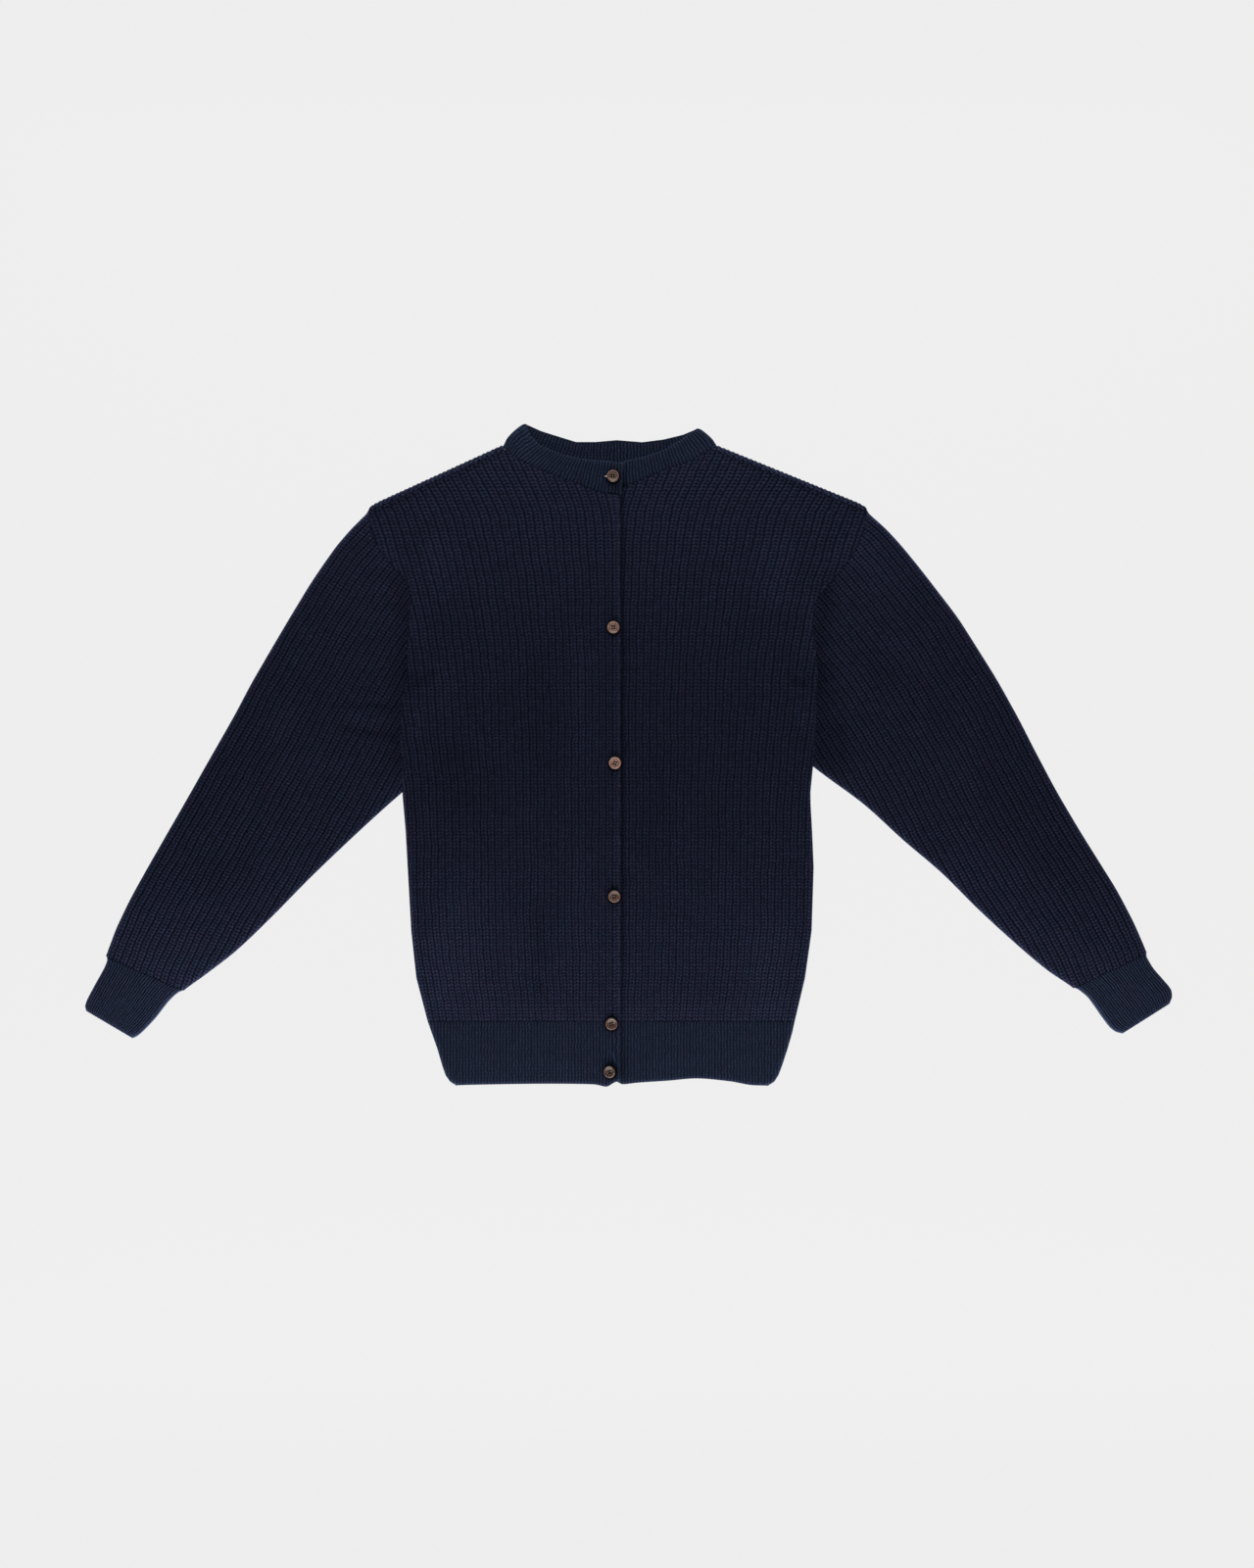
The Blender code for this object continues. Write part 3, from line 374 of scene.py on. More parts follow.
# Sleeves and cuffs, in a frame of their own: along from the shoulder tip, and across from the
# upper fold towards the underarm.
SLEEVE_RIB = 7.35
SLEEVE_RIBS = 34
SLEEVE_OUT = 2.6
SLEEVE_UP = -4.1
RIGHT_SLEEVE_ANGLE = 59.5
LEFT_SLEEVE_ANGLE = 57.7
SLEEVE_OVERLAP = 0.15
TUBE_WALL = 2.6
TUBE_FLOOR = TUBE_WALL + 0.6
FOLD_WALL = 2.8
FOLD_CORNER = 0.6
SEARCH_FROM = -14.0
SEARCH_TO = 300.0
RIGHT_SLEEVE = (
    SleeveRow(0.0, 0.0, 240.0),
    SleeveRow(24.0, -6.0, 232.0),
    SleeveRow(48.0, -9.8, 224.0),
    SleeveRow(96.0, -12.7, 208.0),
    SleeveRow(144.0, -13.1, 193.0),
    SleeveRow(192.0, -12.9, 177.5),
    SleeveRow(240.0, -11.1, 161.5),
    SleeveRow(288.0, -10.4, 147.0),
    SleeveRow(336.0, -9.6, 133.5),
    SleeveRow(384.0, -9.1, 121.5),
    SleeveRow(432.0, -8.2, 108.0),
    SleeveRow(470.0, -5.5, 93.0),
    SleeveRow(492.0, -2.0, 83.5),
    SleeveRow(503.0, 0.0, 80.0),
)
LEFT_SLEEVE = (
    SleeveRow(0.0, 0.0, 250.0),
    SleeveRow(24.0, -6.5, 240.0),
    SleeveRow(48.0, -10.6, 230.0),
    SleeveRow(96.0, -15.8, 210.0),
    SleeveRow(144.0, -19.2, 192.0),
    SleeveRow(192.0, -19.1, 174.5),
    SleeveRow(240.0, -17.0, 156.0),
    SleeveRow(288.0, -12.9, 142.8),
    SleeveRow(336.0, -9.6, 128.0),
    SleeveRow(384.0, -8.4, 117.0),
    SleeveRow(432.0, -8.2, 104.0),
    SleeveRow(470.0, -5.8, 92.0),
    SleeveRow(498.0, -2.0, 80.0),
    SleeveRow(509.0, 0.0, 76.0),
)
CUFF_SLANT = 0.12
CUFF_RIBS = 14
CUFF_COURSES = 17
RIGHT_CUFF = (
    CuffRow(0.0, 1.0, 82.5),
    CuffRow(4.0, 3.4, 79.0),
    CuffRow(14.0, 4.6, 75.5),
    CuffRow(30.0, 5.0, 73.0),
    CuffRow(44.0, 5.6, 69.5),
    CuffRow(52.0, 7.0, 66.5),
    CuffRow(56.0, 10.5, 63.5),
)
LEFT_CUFF = (
    CuffRow(0.0, 0.5, 78.5),
    CuffRow(4.0, 2.2, 75.5),
    CuffRow(14.0, 2.6, 72.0),
    CuffRow(30.0, 0.5, 71.0),
    CuffRow(42.0, -1.0, 70.0),
    CuffRow(49.0, 1.5, 67.5),
    CuffRow(54.0, 7.5, 62.5),
)

# Neckband.
BAND_RIB = 6.5
BAND_COURSES = 9
BAND_SEAM_GAP = 0.02
BAND_RISE = 0.9
BAND_RIGHT = (
    BandRow(-5.0, 254.0, -2.8, 285.3),
    BandRow(-27.0, 256.5, -22.5, 287.7),
    BandRow(-50.0, 265.5, -42.0, 289.5),
    BandRow(-75.0, 274.5, -60.0, 293.0),
    BandRow(-91.5, 281.5, -73.0, 298.0),
    BandRow(-106.0, 289.0, -86.0, 303.5),
    BandRow(-114.0, 294.5, -93.5, 311.5),
    BandRow(-119.8, 300.0, -97.7, 322.8),
)
BAND_BACK = (
    BAND_RIGHT[-1],
    BandRow(-96.0, 291.0, -84.0, 317.0),
    BandRow(-57.5, 281.5, -50.0, 306.5),
    BandRow(-33.0, 279.5, -31.0, 306.5),
    BandRow(-10.5, 279.0, -10.0, 308.3),
    BandRow(16.0, 280.5, 15.0, 306.3),
    BandRow(38.0, 282.5, 36.0, 309.0),
    BandRow(62.5, 291.0, 55.0, 313.5),
    BandRow(86.4, 300.2, 67.0, 318.2),
)
BAND_LEFT = (
    BAND_BACK[-1],
    BandRow(64.0, 288.0, 53.0, 308.5),
    BandRow(41.0, 280.0, 36.0, 298.5),
    BandRow(20.5, 271.5, 17.0, 292.0),
    BandRow(0.0, 263.0, 0.0, 288.5),
    BandRow(-10.0, 258.5, -10.0, 285.5),
    BandRow(-26.0, 254.0, -26.0, 283.0),
)

# Where the folded sides of the neckband swell outwards, and the painted light on their rims.
BAND_SWELLS = (
    Swell(-110.8, 311.4, -0.718, 0.696, 3.0, 18.0),
    Swell(78.0, 310.0, 0.680, 0.733, 2.2, 16.0),
)
BAND_FLARE = 2.2
BAND_RIM_LIGHTS = (
    Crease(-125.0, 302.5, -100.5, 326.5, 2.0, 1.0),
    Crease(91.0, 302.5, 69.5, 321.5, 2.0, 1.0),
)

# Creases: troughs are negative. The body lies over the sleeve at each underarm, and pulls there. Each
# crease also paints shade into its trough's colour and light onto its ridge's.
RIGHT_SLEEVE_CREASES = (
    Crease(-223.0, 186.0, -213.0, 77.0, 11.0, -1.2),
    Crease(-214.0, 105.0, -221.0, -28.0, 20.0, -1.4),
    Crease(-286.0, 50.0, -221.0, 46.0, 4.0, -0.6),
    Crease(-290.0, 27.0, -221.0, 18.0, 4.5, -0.85),
    Crease(-282.0, 38.0, -226.0, 33.0, 4.0, 0.5),
    Crease(-352.0, 48.0, -330.0, 18.0, 16.0, 0.4),
    Crease(-352.0, -18.0, -290.0, 8.0, 16.0, 0.35),
    Crease(-420.0, -120.0, -360.0, -100.0, 22.0, -0.35),
)
LEFT_SLEEVE_CREASES = (
    Crease(196.0, 192.0, 184.0, 60.0, 12.0, -1.5),
    Crease(184.0, 95.0, 192.0, -20.0, 20.0, -1.5),
    Crease(208.0, 40.0, 214.0, -22.0, 12.0, -0.6),
    Crease(222.0, 106.0, 278.0, 66.0, 13.0, -0.4),
    Crease(246.0, 118.0, 300.0, 84.0, 10.0, 0.4),
    Crease(345.0, -12.0, 404.0, -84.0, 20.0, -0.45),
    Crease(400.0, -70.0, 478.0, -190.0, 26.0, -0.3),
    Crease(222.0, 214.0, 264.0, 156.0, 20.0, 0.55),
    Crease(300.0, 20.0, 352.0, -40.0, 14.0, 0.35),
)
RIGHT_FRONT_CREASES = (
    Crease(-243.0, 226.0, -222.0, 176.0, 8.0, 0.7),
    Crease(-217.0, 62.0, -186.0, 84.0, 5.0, -0.85),
    Crease(-208.0, 186.0, -208.0, 96.0, 7.0, 0.7),
    Crease(-206.0, 56.0, -208.0, 8.0, 7.0, 0.7),
    Crease(-186.0, 215.0, -184.0, 150.0, 18.0, 0.7),
    Crease(-182.0, 100.0, -180.0, 40.0, 15.0, 0.5),
    Crease(-176.0, 14.0, -158.0, -66.0, 26.0, -0.55),
    Crease(-84.0, -140.0, -87.0, -250.0, 7.0, -0.6),
    Crease(-168.0, -112.0, -154.0, -250.0, 28.0, 0.85),
    Crease(-192.0, -165.0, -184.0, -250.0, 18.0, 0.95),
    Crease(-116.0, -150.0, -112.0, -240.0, 8.0, 0.35),
    Crease(-42.0, 130.0, -40.0, -30.0, 15.0, 0.6),
    Crease(-44.0, -60.0, -40.0, -230.0, 12.0, 0.4),
    Crease(-84.0, 112.0, -92.0, -20.0, 22.0, -0.3),
)
LEFT_FRONT_CREASES = (
    Crease(226.0, 222.0, 205.0, 176.0, 8.0, 0.7),
    Crease(160.0, 76.0, 180.0, 66.0, 5.0, -0.9),
    Crease(179.0, 168.0, 180.0, 84.0, 7.0, 0.7),
    Crease(168.0, 52.0, 179.0, 26.0, 6.0, 0.8),
    Crease(26.0, 0.0, 24.0, -122.0, 17.0, -0.4),
    Crease(84.0, -20.0, 88.0, -96.0, 16.0, -0.2),
    Crease(142.0, -150.0, 138.0, -256.0, 26.0, 0.8),
    Crease(144.0, 215.0, 150.0, 140.0, 18.0, 0.8),
)

# The lower corner of the right front's hem curls up and tips the last button.
CURL_START_X = -30.0
CURL_REACH_X = 23.0
CURL_START_Y = -288.0
CURL_REACH_Y = 30.0
CURL_HEIGHT = 4.0

BUTTONS = (
    ButtonRow(-13.8, 272.5, -0.4, 0.0, 0.66, 0.0),
    ButtonRow(-13.4, 124.5, 0.0, 0.0, 1.35, 1.0),
    ButtonRow(-11.8, -8.2, 0.0, 0.0, 1.75, -16.0),
    ButtonRow(-12.4, -138.8, 0.0, 0.0, 0.8, -9.0),
    ButtonRow(-15.2, -263.5, 0.0, 0.0, 0.55, 22.0),
    ButtonRow(-16.7, -310.2, 2.7, -22.0, 0.42, 18.0),
)
BUTTON_SEAT = FRONT_FLOOR + LAP_LIFT + GROOVE_WALL + RIB_RISE + LAYER_GAP
# The painted shadow round each button, a dark ring on the wool: its radius, its width and its depth.
SHADOW_RING_RADIUS = 6.2
SHADOW_RING_WIDTH = 1.5
SHADOW_RING_DARK = 0.9


class Side(Enum):
    """A side of the body, named as the wearer has it, with its direction along x."""

    RIGHT = -1.0
    LEFT = 1.0

    @property
    def word(self) -> str:
        """Return the side's name in lower case."""
        return self.name.lower()

    def pick(self, right: Chosen, left: Chosen) -> Chosen:
        """Return whichever of two values belongs to this side."""
        return right if self is Side.RIGHT else left


def column(table: Sequence[NamedTuple], name: str) -> Array:
    """Return one named column of a table as an array."""
    return np.array([getattr(row, name) for row in table])


def read_straight(table: Sequence[NamedTuple], key: str, name: str, at: Array) -> Array:
    """Read a column of a table at the keys asked for, straight between its rows."""
    keys = column(table, key)
    order = np.argsort(keys)
    return np.interp(at, keys[order], column(table, name)[order])


def read_smooth(table: Sequence[NamedTuple], key: str, name: str, at: Array) -> Array:
    """Read a column of a table along a smooth curve that never overshoots its rows.

    The curve is a cubic between two rows. Its slope at a row is the harmonic mean of the slopes on
    both sides, or zero where they differ in sign.
    """
    keys = column(table, key)
    values = column(table, name)
    step = np.diff(keys)
    rise = np.diff(values) / step
    slope = np.concatenate(([rise[0]], np.zeros(len(rise) - 1), [rise[-1]]))
    same_way = rise[:-1] * rise[1:] > 0.0
    blend = 2.0 * rise[:-1] * rise[1:] / np.where(same_way, rise[:-1] + rise[1:], 1.0)
    slope[1:-1] = np.where(same_way, blend, 0.0)
    at = np.clip(at, keys[0], keys[-1])
    row = np.clip(np.searchsorted(keys, at, side="right") - 1, 0, len(step) - 1)
    share = (at - keys[row]) / step[row]
    rest = 1.0 - share
    return (
        values[row] * rest**2 * (1.0 + 2.0 * share)
        + values[row + 1] * share**2 * (3.0 - 2.0 * share)
        + slope[row] * step[row] * share * rest**2
        - slope[row + 1] * step[row] * share**2 * rest
    )


def ease(value: Array) -> Array:
    """Rise smoothly from 0 to 1, as 3s²-2s³, while the value goes from 0 to 1."""
    value = np.clip(value, 0.0, 1.0)
    return value * value * (3.0 - 2.0 * value)


def rounding(distance: Array, width: float = EDGE_ROUNDING) -> Array:
    """Rise as a quarter circle does, from 0 at a folded edge to 1 at the rounding's width."""
    share = np.clip(distance / width, 0.0, 1.0)
    return np.sqrt(1.0 - (1.0 - share) ** 2)


def bell(distance: Array, width: float) -> Array:
    """Return a bell curve, exp(-(d/w)²)."""
    return np.exp(-((distance / width) ** 2))


def stack(x: Array, y: Array, z: Array) -> Array:
    """Stack three arrays of the same shape, or that spread to it, into points."""
    return np.stack(np.broadcast_arrays(x, y, z), axis=-1)


def stitch_columns(count: int) -> Array:
    """Return the rib counts of the columns of points from 0 to a whole count."""
    whole = np.arange(count)[:, None]
    return np.append((whole + np.array(RIB_SHARES)).ravel(), float(count))


def every(count: int, step: int) -> Array:
    """Return every so manieth of a count of places, and always the last."""
    return np.unique(np.append(np.arange(0, count, step), count - 1))


def knit_relief(rib: Array, course: Array, bead: Amount = 1.0) -> Array:
    """Return how high the knitting stands, 0 in a groove between two ribs and about 1 on a leg.

    Across a rib the height is 0.36 |sin(pi u)| + 0.6 |sin(2 pi u)|^0.8, two legs with a shallower
    groove between them. Each leg swells once a course, as cos(2 pi v), times the bead's share.
    """
    phase = np.mod(rib, 1.0)
    legs = 0.36 * np.abs(np.sin(math.pi * phase)) + 0.6 * np.abs(np.sin(math.tau * phase)) ** 0.8
    on_leg = bell(phase - LEG, 0.12) + bell(phase - 1.0 + LEG, 0.12)
    return legs + 0.25 * bead * np.cos(math.tau * course) * (0.3 + 0.7 * on_leg)


def sway(x: Array, y: Array) -> Array:
    """Return a slow uneven swing between about -1 and 1, the mean of slanted sine waves."""
    total = 0.0
    for swing in SWINGS:
        angle = math.radians(swing.angle)
        run = x * math.cos(angle) + y * math.sin(angle)
        total = total + np.sin(math.tau * run / swing.length + swing.shift)
    return total * 1.6 / len(SWINGS)


def crease_height(creases: Sequence[Crease], x: Array, y: Array) -> Array:
    """Return the sum of soft creases: a bell across each one that fades out at both its ends."""
    total = np.zeros(np.broadcast(x, y).shape)
    for crease in creases:
        run = np.array([crease.x1 - crease.x0, crease.y1 - crease.y0])
        length = float(np.linalg.norm(run))
        run = run / length
        along = ((x - crease.x0) * run[0] + (y - crease.y0) * run[1]) / length
        across = (y - crease.y0) * run[0] - (x - crease.x0) * run[1]
        ends = ease((along + 0.1) / 0.35) * ease((1.1 - along) / 0.35)
        total = total + crease.height * bell(across, crease.width) * ends
    return total


def in_hollow(crease: Array) -> Array:
    """Return the painted share of light on the yarn: painted shade in a trough, a little painted light
    on a ridge.
    """
    return np.clip(1.0 + CREASE_SHADE_SHARE * crease, 0.5, 1.4)


class Shell:
    """A surface gathered from grids and strips, whose meeting points are welded."""

    def __init__(self, name: str) -> None:
        """Start an empty shell under the name of its piece."""
        self.name = name
        self.points: list[Array] = []
        self.stitches: list[Array] = []
        self.painted_lights: list[Array] = []
        self.quads: list[Array] = []
        self.rims: list[list[int]] = []
        self.count = 0

    def lay(self, points: Array, rib: Array, course: Array, painted_light: Amount = 1.0) -> Array:
        """Add the points of a grid.

        Args:
            points: rows by columns of points in millimetres.
            rib: rib counts that spread to the grid.
            course: course counts that spread to the grid.
            painted_light: the painted share of light on each point's colour, which spreads to the grid.

        Returns:
            The number of each point, rows by columns.
        """
        rows, columns = points.shape[:2]
        number = self.count + np.arange(rows * columns).reshape(rows, columns)
        stitch = np.stack(np.broadcast_arrays(rib, course, points[..., 0])[:2], axis=-1)
        self.points.append(points.reshape(-1, 3))
        self.stitches.append(stitch.reshape(-1, 2))
        self.painted_lights.append((painted_light * np.ones((rows, columns))).ravel())
        self.count += rows * columns
        return number

    def skin(self, number: Array, keep: Optional[Array] = None) -> None:
        """Cover a grid of numbered points with quads, but for cells that are left out."""
        cells = np.stack((number[:-1, :-1], number[:-1, 1:], number[1:, 1:], number[1:, :-1]), axis=-1)
        if keep is not None:
            cells = cells[keep]
        self.quads.append(cells.reshape(-1, 4))

    def strip(self, first: Array, second: Array) -> None:
        """Join two lines of as many points with quads."""
        self.skin(np.stack((first, second)))

    def rim(self, fine: Array, coarse: Array, marks: Array) -> None:
        """Join a fine line of points to a coarse one, whose points face the marked fine ones."""
        spans = zip(marks[:-1], marks[1:], coarse[:-1], coarse[1:])
        self.rims += [[*fine[start:end + 1], after, before] for start, end, before, after in spans]

    def close(self) -> Mesh:
        """Weld the points and make the mesh, with its stitch map and with outward faces.

        A quad that has lost one corner becomes a triangle, and one that has lost more is dropped.
        """
        points = np.concatenate(self.points)
        keys = np.round(points / WELD).astype(np.int64)
        _, first, weld = np.unique(keys, axis=0, return_index=True, return_inverse=True)
        weld = weld.reshape(-1)
        quads = np.concatenate(self.quads)
        met = weld[quads]
        same = met == np.roll(met, -1, axis=1)
        lost = same.sum(axis=1)
        crossed = (met[:, 0] == met[:, 2]) | (met[:, 1] == met[:, 3])
        order = (np.argmax(same, axis=1)[:, None] + np.array([1, 2, 3])) % 4
        triangles = np.take_along_axis(quads, order, axis=1)[lost == 1]
        quads = quads[(lost == 0) & ~crossed]
        rims = []
        for rim in self.rims:
            kept = [c for i, c in enumerate(rim) if weld[c] != weld[rim[i - 1]]]
            if len({int(weld[c]) for c in kept}) > 2:
                rims.append(kept)
        corners = np.concatenate([quads.ravel(), triangles.ravel(), *[np.array(r) for r in rims]])
        sizes = np.concatenate((np.full(len(quads), 4), np.full(len(triangles), 3),
                                np.array([len(r) for r in rims], dtype=int))).astype(np.int64)
        used, loops = np.unique(weld[corners], return_inverse=True)
        places = (points[first][used] - ORIGIN) * MILLIMETRE
        mesh = bpy.data.meshes.new(self.name)
        mesh.vertices.add(len(places))
        mesh.vertices.foreach_set("co", places.astype(np.float32).ravel())
        mesh.loops.add(len(corners))
        mesh.loops.foreach_set("vertex_index", loops.reshape(-1).astype(np.int32))
        mesh.polygons.add(len(sizes))
        mesh.polygons.foreach_set("loop_start", (np.cumsum(sizes) - sizes).astype(np.int32))
        mesh.update(calc_edges=True)
        # The painted light and shade goes on the points, to scale their colour.
        light = mesh.attributes.new(PAINTED_LIGHT, "FLOAT", "POINT")
        light.data.foreach_set("value", np.concatenate(self.painted_lights)[first][used].astype(np.float32))
        layer = mesh.uv_layers.new(name=STITCH_MAP)
        stitch = np.concatenate(self.stitches)[corners]
        layer.data.foreach_set("uv", stitch.astype(np.float32).ravel())
        shape = bmesh.new()
        shape.from_mesh(mesh)
        bmesh.ops.recalc_face_normals(shape, faces=shape.faces)
        shape.to_mesh(mesh)
        shape.free()
        mesh.shade_smooth()
        return mesh


def place(name: str, mesh: Mesh, material: Material, nodes: Sequence[str] = ()) -> Object:
    """Put a finished mesh into the scene as a piece.

    Args:
        name: the piece's name.
        mesh: its mesh, in metres in the frame.
        material: its finish.
        nodes: the solids that it stands for.

    Returns:
        The piece's object.
    """
    piece = bpy.data.objects.new(name, mesh)
    bpy.context.scene.collection.objects.link(piece)
    mesh.materials.append(material)
    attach(piece, BODY)
    if nodes:
        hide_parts(*nodes)
    log.info("%s: %d faces", name, len(mesh.polygons))
    return piece


class Nodes:
    """A material's or a group's node tree, with short ways to add and join its nodes."""

    def __init__(self, tree: NodeTree) -> None:
        """Hold the tree."""
        self.tree = tree

    def add(self, kind: str, settings: Optional[dict] = None, **inputs: object) -> Node:
        """Add a node.

        Args:
            kind: the node's type.
            settings: properties of the node.
            inputs: values or sockets for its inputs, named with underscores for spaces, or
                in_0, in_1 and so on where names repeat.

        Returns:
            The node.
        """
        node = self.tree.nodes.new(kind)
        for name, value in (settings or {}).items():
            setattr(node, name, value)
        self.fill(node, **inputs)
        return node

    def fill(self, node: Node, **inputs: object) -> None:
        """Set or link the inputs of a node, named as they are for a new one."""
        for name, value in inputs.items():
            key = int(name[3:]) if name.startswith("in_") else name.replace("_", " ")
            if isinstance(value, NodeSocket):
                self.tree.links.new(value, node.inputs[key])
            else:
                node.inputs[key].default_value = value

    def math(self, operation: str, *values: object, clamp: bool = False) -> NodeSocket:
        """Add a math node and return what it puts out."""
        inputs = {f"in_{index}": value for index, value in enumerate(values)}
        node = self.add("ShaderNodeMath", {"operation": operation, "use_clamp": clamp}, **inputs)
        return node.outputs[0]

    def vector(self, operation: str, **inputs: object) -> Node:
        """Add a vector math node."""
        return self.add("ShaderNodeVectorMath", {"operation": operation}, **inputs)

    def smooth(self, value: object, low: float, high: float) -> NodeSocket:
        """Return 0 where a value is at the low end, 1 at the high end, and a smooth step between."""
        node = self.add("ShaderNodeMapRange", {"interpolation_type": "SMOOTHSTEP"}, Value=value,
                        From_Min=low, From_Max=high, To_Min=0.0, To_Max=1.0)
        return node.outputs["Result"]

    def mix(self, share: object, first: object, second: object) -> NodeSocket:
        """Mix two colours."""
        node = self.add("ShaderNodeMix", {"data_type": "RGBA"}, in_0=share, in_6=first, in_7=second)
        return node.outputs[2]


def new_surface(name: str) -> tuple[Material, Nodes, Node]:
    """Make a material, and return it with its nodes and its Principled shader."""
    material = bpy.data.materials.new(name)
    material.use_nodes = True
    return material, Nodes(material.node_tree), material.node_tree.nodes["Principled BSDF"]


def new_group(name: str, inputs: dict[str, str], outputs: dict[str, str]) -> tuple[Nodes, dict, dict]:
    """Make a shader node group with named sockets.

    Args:
        name: the group's name.
        inputs: socket types by name.
        outputs: socket types by name.

    Returns:
        Its nodes, the sockets that come in by name, and the sockets to link the outputs to.
    """
    group = bpy.data.node_groups.new(name, "ShaderNodeTree")
    for names, way in ((inputs, "INPUT"), (outputs, "OUTPUT")):
        for socket, kind in names.items():
            group.interface.new_socket(name=socket, in_out=way, socket_type=kind)
    start = group.nodes.new("NodeGroupInput")
    end = group.nodes.new("NodeGroupOutput")
    return (Nodes(group), {key: start.outputs[key] for key in inputs},
            {key: end.inputs[key] for key in outputs})


def knit_group() -> NodeTree:
    """Make the group that draws single stitches on the stitch map.

    The map is bent a little by slow noise. The distance to a rib's middle line shapes two legs, and
    a slanted course count, a sixth of a course later on the second leg, shapes the loops. It puts
    out their height, a mask of the painted shade between them, and a random tone for each stitch.
    """
    nodes, inside, outside = new_group(
        "knit stitches",
        {"Stitch": "NodeSocketVector", "Gap": "NodeSocketFloat", "Groove": "NodeSocketFloat"},
        {"Height": "NodeSocketFloat", "Painted Shade": "NodeSocketFloat", "Tone": "NodeSocketFloat"})
    bend = nodes.add("ShaderNodeTexNoise", {"noise_dimensions": "2D"}, Vector=inside["Stitch"],
                     Scale=0.6, Detail=2.0)
    centred = nodes.vector("SUBTRACT", in_0=bend.outputs["Color"], in_1=(0.5, 0.5, 0.5))
    bent = nodes.vector("MULTIPLY_ADD", in_0=centred.outputs["Vector"], in_1=(0.4, 0.5, 0.0),
                        in_2=inside["Stitch"])
    parts = nodes.add("ShaderNodeSeparateXYZ", Vector=bent.outputs["Vector"])
    rib, course = parts.outputs["X"], parts.outputs["Y"]
    phase = nodes.math("FRACT", rib)
    half = nodes.math("GREATER_THAN", phase, 0.5)
    distance = nodes.math("ABSOLUTE", nodes.math("SUBTRACT", phase, 0.5))
    slant = nodes.math("MULTIPLY_ADD", distance, 0.6, course)
    slanted = nodes.math("MULTIPLY_ADD", half, 0.15, slant)
    wave = nodes.math("COSINE", nodes.math("MULTIPLY", slanted, math.tau))
    loop = nodes.smooth(wave, -0.9, 0.7)
    leg = nodes.math("ABSOLUTE", nodes.math("SUBTRACT", distance, 0.25))
    leg = nodes.math("SUBTRACT", 1.0, nodes.smooth(leg, 0.02, 0.23))
    groove = nodes.smooth(distance, 0.3, 0.5)
    rest = nodes.math("SUBTRACT", 1.0, inside["Gap"])
    light = nodes.math("MULTIPLY", leg, rest)
    light = nodes.math("MULTIPLY_ADD", loop, inside["Gap"], light)
    deep = nodes.math("MULTIPLY", groove, inside["Groove"])
    height = nodes.math("SUBTRACT", light, deep, clamp=True)
    dark = nodes.math("SUBTRACT", 1.0, height)
    cell = nodes.add("ShaderNodeCombineXYZ", X=nodes.math("FLOOR", nodes.math("MULTIPLY", rib, 2.0)),
                     Y=nodes.math("FLOOR", nodes.math("ADD", slanted, 0.5)))
    tone = nodes.add("ShaderNodeTexWhiteNoise", {"noise_dimensions": "2D"},
                     Vector=cell.outputs["Vector"])
    nodes.tree.links.new(height, outside["Height"])
    nodes.tree.links.new(dark, outside["Painted Shade"])
    nodes.tree.links.new(tone.outputs["Value"], outside["Tone"])
    return nodes.tree


def mottle_group() -> NodeTree:
    """Make the group of a melange yarn: two colours in soft patches, with fibre specks.

    Patches are slow noise in object space and specks are fast noise. It puts out the colour and
    the height of the fibres.
    """
    nodes, inside, outside = new_group(
        "melange yarn",
        {"Place": "NodeSocketVector", "First": "NodeSocketColor", "Second": "NodeSocketColor",
         "Patch Scale": "NodeSocketFloat", "Fibre Scale": "NodeSocketFloat"},
        {"Color": "NodeSocketColor", "Fibre": "NodeSocketFloat"})
    patch = nodes.add("ShaderNodeTexNoise", Vector=inside["Place"], Scale=inside["Patch Scale"],
                      Detail=5.0, Roughness=0.65)
    fibre = nodes.add("ShaderNodeTexNoise", Vector=inside["Place"], Scale=inside["Fibre Scale"],
                      Detail=3.0, Roughness=0.7, Distortion=1.2)
    share = nodes.smooth(patch.outputs["Fac"], 0.36, 0.64)
    colour = nodes.mix(share, inside["First"], inside["Second"])
    speck = nodes.math("MULTIPLY_ADD", nodes.smooth(fibre.outputs["Fac"], 0.3, 0.7), 0.36, 0.82)
    scaled = nodes.vector("SCALE", Vector=colour, Scale=speck)
    nodes.tree.links.new(scaled.outputs["Vector"], outside["Color"])
    nodes.tree.links.new(fibre.outputs["Fac"], outside["Fibre"])
    return nodes.tree


